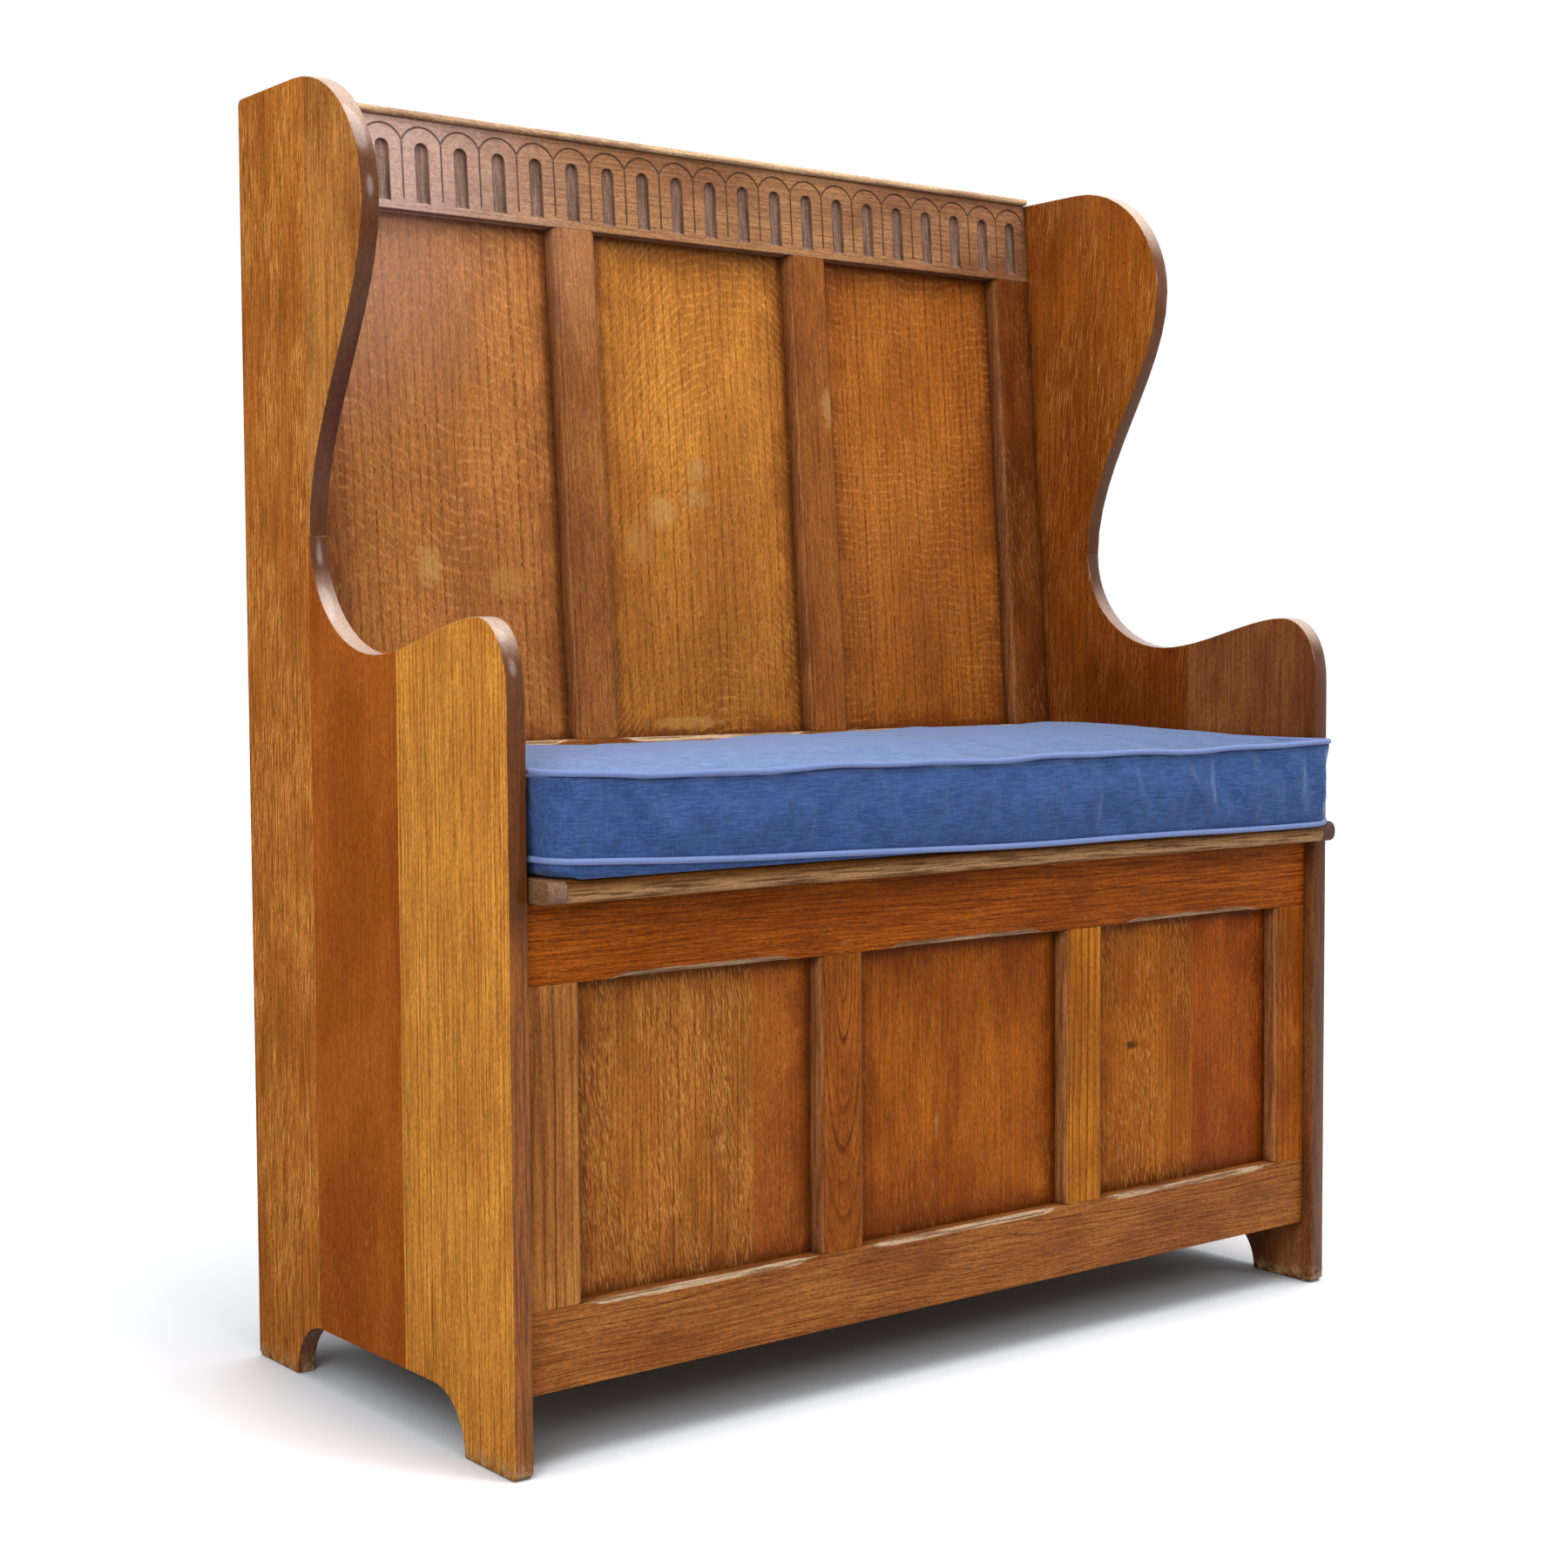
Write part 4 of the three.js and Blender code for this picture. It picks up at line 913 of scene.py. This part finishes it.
cushion = {
    "seamUp": 0.0765,        # upper seam, above the lid
    "seamUpEnds": 0.0035,    # how far it rises at the two ends
    "seamDownLeft": 0.0135,
    "seamDownRight": -0.001,
    "lidEdge": -0.2275,      # beyond this the cloth may hang over the lid's nose
    "droop": 0.0065,
    "leanIn": 0.006,         # at the right end, towards the bottom
    "corner": 0.028,
    "arcSteps": 6,           # points round a corner
    "inset": 0.004,          # room left for the filling to swell
    "crown": 0.004,
    "rearSink": 0.006,       # left of the middle, along the back
    "rearLift": 0.003,       # the rear right corner stands up
    "ringStep": 0.012,
    "voxel": 0.006,
    "pressure": 4.0,
    "frames": 18,
    "cap": 0.011,
    "rise": 0.35,            # the top swells less than the band
    "piping": 0.0026,
    "pipeStep": 0.008,
    "pipeSides": 10,
    "front": -0.2365,
    "rear": 0.163,
    "left": -0.4605,
    "right": 0.4595,
    "spread": 0.007,         # the free right corner spreads in front of the side board
    "rearPull": 0.026,       # the rear right corner stands off the side board
    "boardFront": -0.203,
    "between": 0.4618,       # the boards stop it from here back
}
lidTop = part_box("lid_front_board")[1].z


def unit(value):
    return min(max(value, 0), 1)


def overLid(y):
    return unit((cushion["lidEdge"] - y) / 0.004)


def seamHeights(x, y):
    left = unit((x - cushion["left"]) / (cushion["right"] - cushion["left"]))
    back = unit((y - cushion["front"]) / (cushion["rear"] - cushion["front"]))
    ends = math.exp(-left * 14) + 0.6 * math.exp(-(1 - left) * 22)
    swell = 0.0009 * math.sin(left * 21 + 1.0) + 0.0007 * math.sin(left * 47 + back * 6)
    lift = cushion["rearLift"] * back ** 3 * math.exp(-((left - 0.93) / 0.16) ** 2)
    upper = lidTop + cushion["seamUp"] + cushion["seamUpEnds"] * ends + swell + lift + 0.004 * back
    upper -= cushion["rearSink"] * back ** 2 * unit((0.48 - left) / 0.12)
    fall = 1 - math.exp(-((left / 0.32) ** 1.4))
    slope = cushion["seamDownLeft"] + (cushion["seamDownRight"] - cushion["seamDownLeft"]) * fall
    lower = lidTop + slope + 0.004 * back + 0.0006 * math.sin(left * 17 + 2)
    return max(lower, lidTop + 0.004 - 0.007 * overLid(y)), upper


def spread(x, y):
    forward = unit((cushion["boardFront"] - y) / 0.012)
    rearward = unit((y - 0.04) / 0.12) ** 2
    return (cushion["spread"] * forward * unit((x - 0.42) / 0.03)
            - cushion["rearPull"] * rearward * unit((x - 0.26) / 0.2))


def roundedRing(outset, step):
    x0, x1 = cushion["left"] - outset, cushion["right"] + outset
    y0, y1 = cushion["front"] - outset, cushion["rear"] + outset
    r = max(cushion["corner"] + outset, 0.004)
    points = []
    corners = [(x1 - r, y1 - r, 0), (x0 + r, y1 - r, 1), (x0 + r, y0 + r, 2), (x1 - r, y0 + r, 3)]
    ahead = [x1 - x0 - 2 * r, y1 - y0 - 2 * r] * 2
    for (cx, cy, quarter), span in zip(corners, ahead):
        for i in range(cushion["arcSteps"] + 1):
            angle = (quarter + i / cushion["arcSteps"]) * math.pi / 2
            points.append((cx + r * math.cos(angle), cy + r * math.sin(angle)))
        full = ("right", "left") if quarter % 2 == 0 else ("rear", "front")
        count = int((cushion[full[0]] - cushion[full[1]]) / step)
        last = points[-1]
        turned = (quarter + 1) * math.pi / 2
        dx, dy = -math.sin(turned), math.cos(turned)
        for i in range(1, count):
            points.append((last[0] + dx * span * i / count, last[1] + dy * span * i / count))
    return points


def cushionBase():
    # rows climb from the underside, over both seams, to the crown
    base = lidTop + 0.0004
    inset, step = cushion["inset"], cushion["ringStep"]
    verts = []
    plan = roundedRing(-inset, step)
    band = [(-0.016, "base", 0), (-0.007, "base", 0.0005), (-0.0015, "droop", 0), (-0.001, "lower", 0),
            (0.001, "middle", 0), (0, "upper", 0)]
    crown = (0.1, 0.25, 0.45, 0.7, 0.9)
    halfDepth = (cushion["rear"] - cushion["front"]) / 2
    for outset, level, lift in band:
        for (x, y), (px, py) in zip(roundedRing(-inset + outset, step), plan):
            lower, upper = seamHeights(px, py)
            hang = base + 0.002 - cushion["droop"] * overLid(y)
            z = {"base": base, "droop": min(hang, lower - 0.002), "lower": lower, "middle": (lower + upper) / 2,
                 "upper": upper}[level]
            lean = unit((x - 0.42) / 0.03) * cushion["leanIn"] * (upper - z) / (upper - base)
            verts.append((x - lean + spread(x, y), y, z + lift))
    for share in crown:
        for (x, y), (px, py) in zip(roundedRing(-inset - share * halfDepth, step), plan):
            upper = seamHeights(px, py)[1]
            middle = lidTop + cushion["seamUp"]
            rise = cushion["crown"] * math.sin(share * math.pi / 2)
            verts.append((x + spread(x, y), y, upper + (middle - upper) * share ** 2 + rise))
    return newMesh("seatCushion", verts, ringFaces(len(band) + len(crown), len(plan)))


def applyModifiers(thing):
    evaluated = thing.evaluated_get(bpy.context.evaluated_depsgraph_get())
    mesh = bpy.data.meshes.new_from_object(evaluated)
    thing.modifiers.clear()
    thing.data = mesh


def coordinates(mesh):
    values = np.empty(len(mesh.vertices) * 3)
    mesh.vertices.foreach_get("co", values)
    return values.reshape(-1, 3)


def seamDistance(points):
    # height above the lower and the upper seam, and how far inside the outline
    heights = np.array([[z - seam for seam in seamHeights(x, y)] for x, y, z in points])
    inX = np.minimum(points[:, 0] - cushion["left"], cushion["right"] - points[:, 0])
    inY = np.minimum(points[:, 1] - cushion["front"], cushion["rear"] - points[:, 1])
    return np.abs(heights).min(axis=1), np.minimum(inX, inY)


def inflateCushion(pad):
    remesh = pad.modifiers.new("even", "REMESH")
    remesh.mode = "VOXEL"
    remesh.voxel_size = cushion["voxel"]
    applyModifiers(pad)
    start = coordinates(pad.data)
    fromSeam, inside = seamDistance(start)
    atSeam = (fromSeam < 0.0035) & (inside < 0.014)
    under = start[:, 2] < lidTop + 0.003
    held = pad.vertex_groups.new(name="held")
    held.add([int(i) for i in np.nonzero(atSeam | under)[0]], 1.0, "REPLACE")
    cloth = pad.modifiers.new("filling", "CLOTH")
    for name, value in {
        "vertex_group_mass": "held", "quality": 4, "mass": 0.25, "use_pressure": True,
        "uniform_pressure_force": cushion["pressure"], "shrink_min": -0.03, "bending_stiffness": 1.2,
    }.items():
        setattr(cloth.settings, name, value)
    cloth.settings.effector_weights.gravity = 0
    cloth.collision_settings.use_collision = False
    scene = bpy.context.scene
    for number in range(1, cushion["frames"] + 1):
        scene.frame_set(number)
    applyModifiers(pad)
    moved = (coordinates(pad.data) - start) * (1, 1, cushion["rise"])
    travel = np.linalg.norm(moved, axis=1, keepdims=True)
    capped = start + moved * np.minimum(1, cushion["cap"] / np.maximum(travel, 1e-9))
    pad.data.vertices.foreach_set("co", capped.ravel())
    pad.data.update()
    scene.frame_set(1)


def wrinkleCushion(pad):
    # small puckers that run out from the seams, and a slow unevenness over the top
    mesh = pad.data
    points = coordinates(mesh)
    normals = np.array([v.normal for v in mesh.vertices])
    fromSeam, inside = seamDistance(points)
    near = np.exp(-fromSeam / 0.011)
    edge = np.exp(-np.maximum(inside, 0) / 0.02)
    move = np.empty(len(points))
    for i, (x, y, z) in enumerate(points):
        along = noise.noise(Vector((x * 62, y * 62, z * 14)))
        slow = noise.noise(Vector((x * 9, y * 9, z * 9 + 4)))
        fine = noise.noise(Vector((x * 150, y * 150, z * 60)))
        move[i] = near[i] * edge[i] * (0.0011 * along + 0.0004 * fine) + 0.0016 * slow * (inside[i] > 0)
    move *= np.clip((points[:, 2] - lidTop - 0.004) / 0.01, 0, 1)
    points += normals * move[:, None]
    beside = points[:, 1] > cushion["boardFront"]
    points[beside, 0] = np.clip(points[beside, 0], -cushion["between"], cushion["between"])
    mesh.vertices.foreach_set("co", points.ravel())
    mesh.update()


cloths = {
    # dark and pale of the pile on the band, on the top, painted paler as lit, and on the top's right half, painted
    # darker as shaded
    "band": ("#2d4372", "#415e94"),
    "top": ("#5f77a3", "#7e95c2"),
    "topRight": ("#3f587f", "#5a7398"),
    "creaseShade": "#2b4070",
    "sheen": "#a9bfe8",
    "piping": ("#56699f", "#8194c4"),
    "pipingSheen": "#c3cff0",
}


def cloth(name, share):
    dark, pale = (linear(tone) for tone in cloths[name])
    return mixColour(share, dark, pale)


def makeCushionMaterial():
    material, surface = newMaterial("blueChenille")
    parts = add("ShaderNodeSeparateXYZ", {0: objectPlace()}).outputs

    def field(sizes, detail):
        return noiseAt(combine(*(times(part, size) for part, size in zip(parts, sizes))), detail, 0.6)

    pile = plus(times(field((620, 620, 90), 3), 0.35), times(field((70, 300, 680), 3), 0.65))
    brushed = remap(field((44, 44, 60), 4), 0.38, 0.68)
    light = plus(times(remap(pile, 0.42, 0.62), 0.72), times(brushed, 0.28))
    # painted light: the top paler than the band, with painted shade over its right half
    top = faces(upward, "Mask", 0.3, 0.95)
    colour = mixColour(top, cloth("band", light), cloth("top", light))
    colour = mixColour(times(top, remap(parts["X"], -0.35, 0.4, 0, 0.85)), colour, cloth("topRight", light))
    # painted shade: the cloth darkens where it turns down to the seams
    creaseShade = times(faces(upward, "Soft", 0.15, 0.5), minus(1.0, faces(upward, "Soft", 0.62, 0.93)))
    colour = blend(colour, creaseShade, 0.55, linear(cloths["creaseShade"]))
    feed(surface, {
        "Base Color": colour, "Roughness": 0.85, "Specular IOR Level": 0.2,
        "Normal": add("ShaderNodeBump", {"Height": pile, "Strength": 0.4, "Distance": 0.0012}).outputs[0],
        "Sheen Weight": 0.9, "Sheen Roughness": 0.35, "Sheen Tint": linear(cloths["sheen"]),
    })
    return material


def makePipingMaterial():
    material, surface = newMaterial("piping")
    twill = noiseAt(scaled(objectPlace(), 900.0), 2, 0.6)
    feed(surface, {
        "Base Color": cloth("piping", twill), "Roughness": 0.8,
        "Normal": add("ShaderNodeBump", {"Height": twill, "Strength": 0.3, "Distance": 0.0004}).outputs[0],
        "Sheen Weight": 0.5, "Sheen Roughness": 0.4, "Sheen Tint": linear(cloths["pipingSheen"]),
    })
    return material


def tubeMesh(name, centres, radius, sides):
    # a closed tube round the seam
    verts, quads = [], []
    count = len(centres)
    for i, centre in enumerate(centres):
        tangent = (centres[(i + 1) % count] - centres[i - 1]).normalized()
        side = tangent.cross(Vector(upward)).normalized()
        top = side.cross(tangent)
        for k in range(sides):
            angle = math.tau * k / sides
            verts.append(centre + side * (radius * math.cos(angle)) + top * (radius * math.sin(angle)))
            a, b = i * sides, (i + 1) % count * sides
            quads.append((a + k, a + (k + 1) % sides, b + (k + 1) % sides, b + k))
    return newMesh(name, verts, quads, True)


def makePiping(pad, which, material):
    surface = BVHTree.FromObject(pad, bpy.context.evaluated_depsgraph_get())
    radius = cushion["piping"]
    centres = []
    for x, y in roundedRing(-cushion["inset"] + 0.004, cushion["pipeStep"]):
        z = seamHeights(x, y)[which]
        nearest, normal, _, _ = surface.find_nearest(Vector((x + spread(x, y), y, z)))
        out = Vector((normal.x, normal.y, 0))
        flat = out.normalized() if out.length > 0.05 else Vector(origin)
        centres.append(Vector((nearest.x, nearest.y, z + 0.0006 * which)) + flat * radius * 0.6)
    for _ in range(3):
        centres = [(centres[i - 1] + centres[i] * 2 + centres[(i + 1) % len(centres)]) / 4
                   for i in range(len(centres))]
    name = ("lowerPiping", "upperPiping")[which]
    piping = place(name, tubeMesh(name, centres, radius, cushion["pipeSides"]))
    piping.data.materials.append(material)
    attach(piping, "cushion")


def makeCushion():
    pad = place("seatPad", cushionBase())
    inflateCushion(pad)
    wrinkleCushion(pad)
    pad.data.polygons.foreach_set("use_smooth", [True] * len(pad.data.polygons))
    finer = pad.modifiers.new("finer", "SUBSURF")
    finer.levels = finer.render_levels = 1
    dress(pad, makeCushionMaterial())
    pipingCloth = makePipingMaterial()
    makePiping(pad, 0, pipingCloth)
    makePiping(pad, 1, pipingCloth)
    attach(pad, "cushion")
    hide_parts("seat_cushion")


# Surroundings and floor

studio = {
    "surround": 0.5,         # light from all round
    "surroundColour": (0.97, 0.985, 1.0, 1),
    "floorSize": 60,
    "floorDrop": 0.0005,
    "whiteNear": 1.25,       # how pale the camera sees the floor under the bench and far off
    "whiteFar": 2.3,
    "nearEnd": 0.5,
    "farStart": 6.0,
    "floorBounce": (0.55, 0.55, 0.55, 1),
    "floorMirrored": (0.85, 0.85, 0.85, 1),
    "shadowReach": 0.26,     # closer to the bench than this its shadow deepens
    "shadowTone": (0.365, 0.385, 0.405),
    "openTone": (0.975, 0.993, 1.03),
}


def setWorld():
    world = bpy.data.worlds.new("studioWorld")
    bpy.context.scene.world = world
    world.use_nodes = True
    current["tree"] = world.node_tree
    rays = add("ShaderNodeLightPath").outputs
    seen = larger(larger(rays["Is Camera Ray"], rays["Is Transmission Ray"]), rays["Is Glossy Ray"])
    strength = add("ShaderNodeMapRange", {"Value": seen, "To Min": studio["surround"], "To Max": 1.0}).outputs[0]
    feed(world.node_tree.nodes["Background"].inputs, {
        "Color": mixColour(seen, studio["surroundColour"], (1, 1, 1, 1)), "Strength": strength,
    })


def makeFloor():
    half = studio["floorSize"] / 2
    mesh = newMesh("floor", [(-half, -half, 0), (half, -half, 0), (half, half, 0), (-half, half, 0)], [(0, 1, 2, 3)])
    floor = place("floor", mesh)
    floor.location.z = -studio["floorDrop"]
    material, _ = newMaterial("paleFloor")
    tree = material.node_tree
    tree.nodes.remove(tree.nodes["Principled BSDF"])
    rays = add("ShaderNodeLightPath").outputs
    white = remap(length(objectPlace()), studio["nearEnd"], studio["farStart"], studio["whiteNear"], studio["whiteFar"])
    openness = add("ShaderNodeAmbientOcclusion", {"Distance": studio["shadowReach"]}, samples=8).outputs["AO"]
    seen = combine(*(times(white, remap(openness, 0.2, 0.85, dark, pale))
                     for dark, pale in zip(studio["shadowTone"], studio["openTone"])))
    colour = mixColour(rays["Is Glossy Ray"], studio["floorBounce"], studio["floorMirrored"])
    surface = add("ShaderNodeBsdfDiffuse", {"Color": mixColour(rays["Is Camera Ray"], colour, seen)})
    tree.links.new(surface.outputs[0], tree.nodes["Material Output"].inputs["Surface"])
    mesh.materials.append(material)


setCamera(photoView)
setLamps(lamps)
setWorld()
makeFloor()
bpy.context.scene.view_settings.view_transform = "Standard"
print("camera, lamps and floor set")
finishBoards()
softenShading()
finishHinges()
print("boards and hinges finished")
makePegs()
print("pegs made")
makeCushion()
print("cushion made")
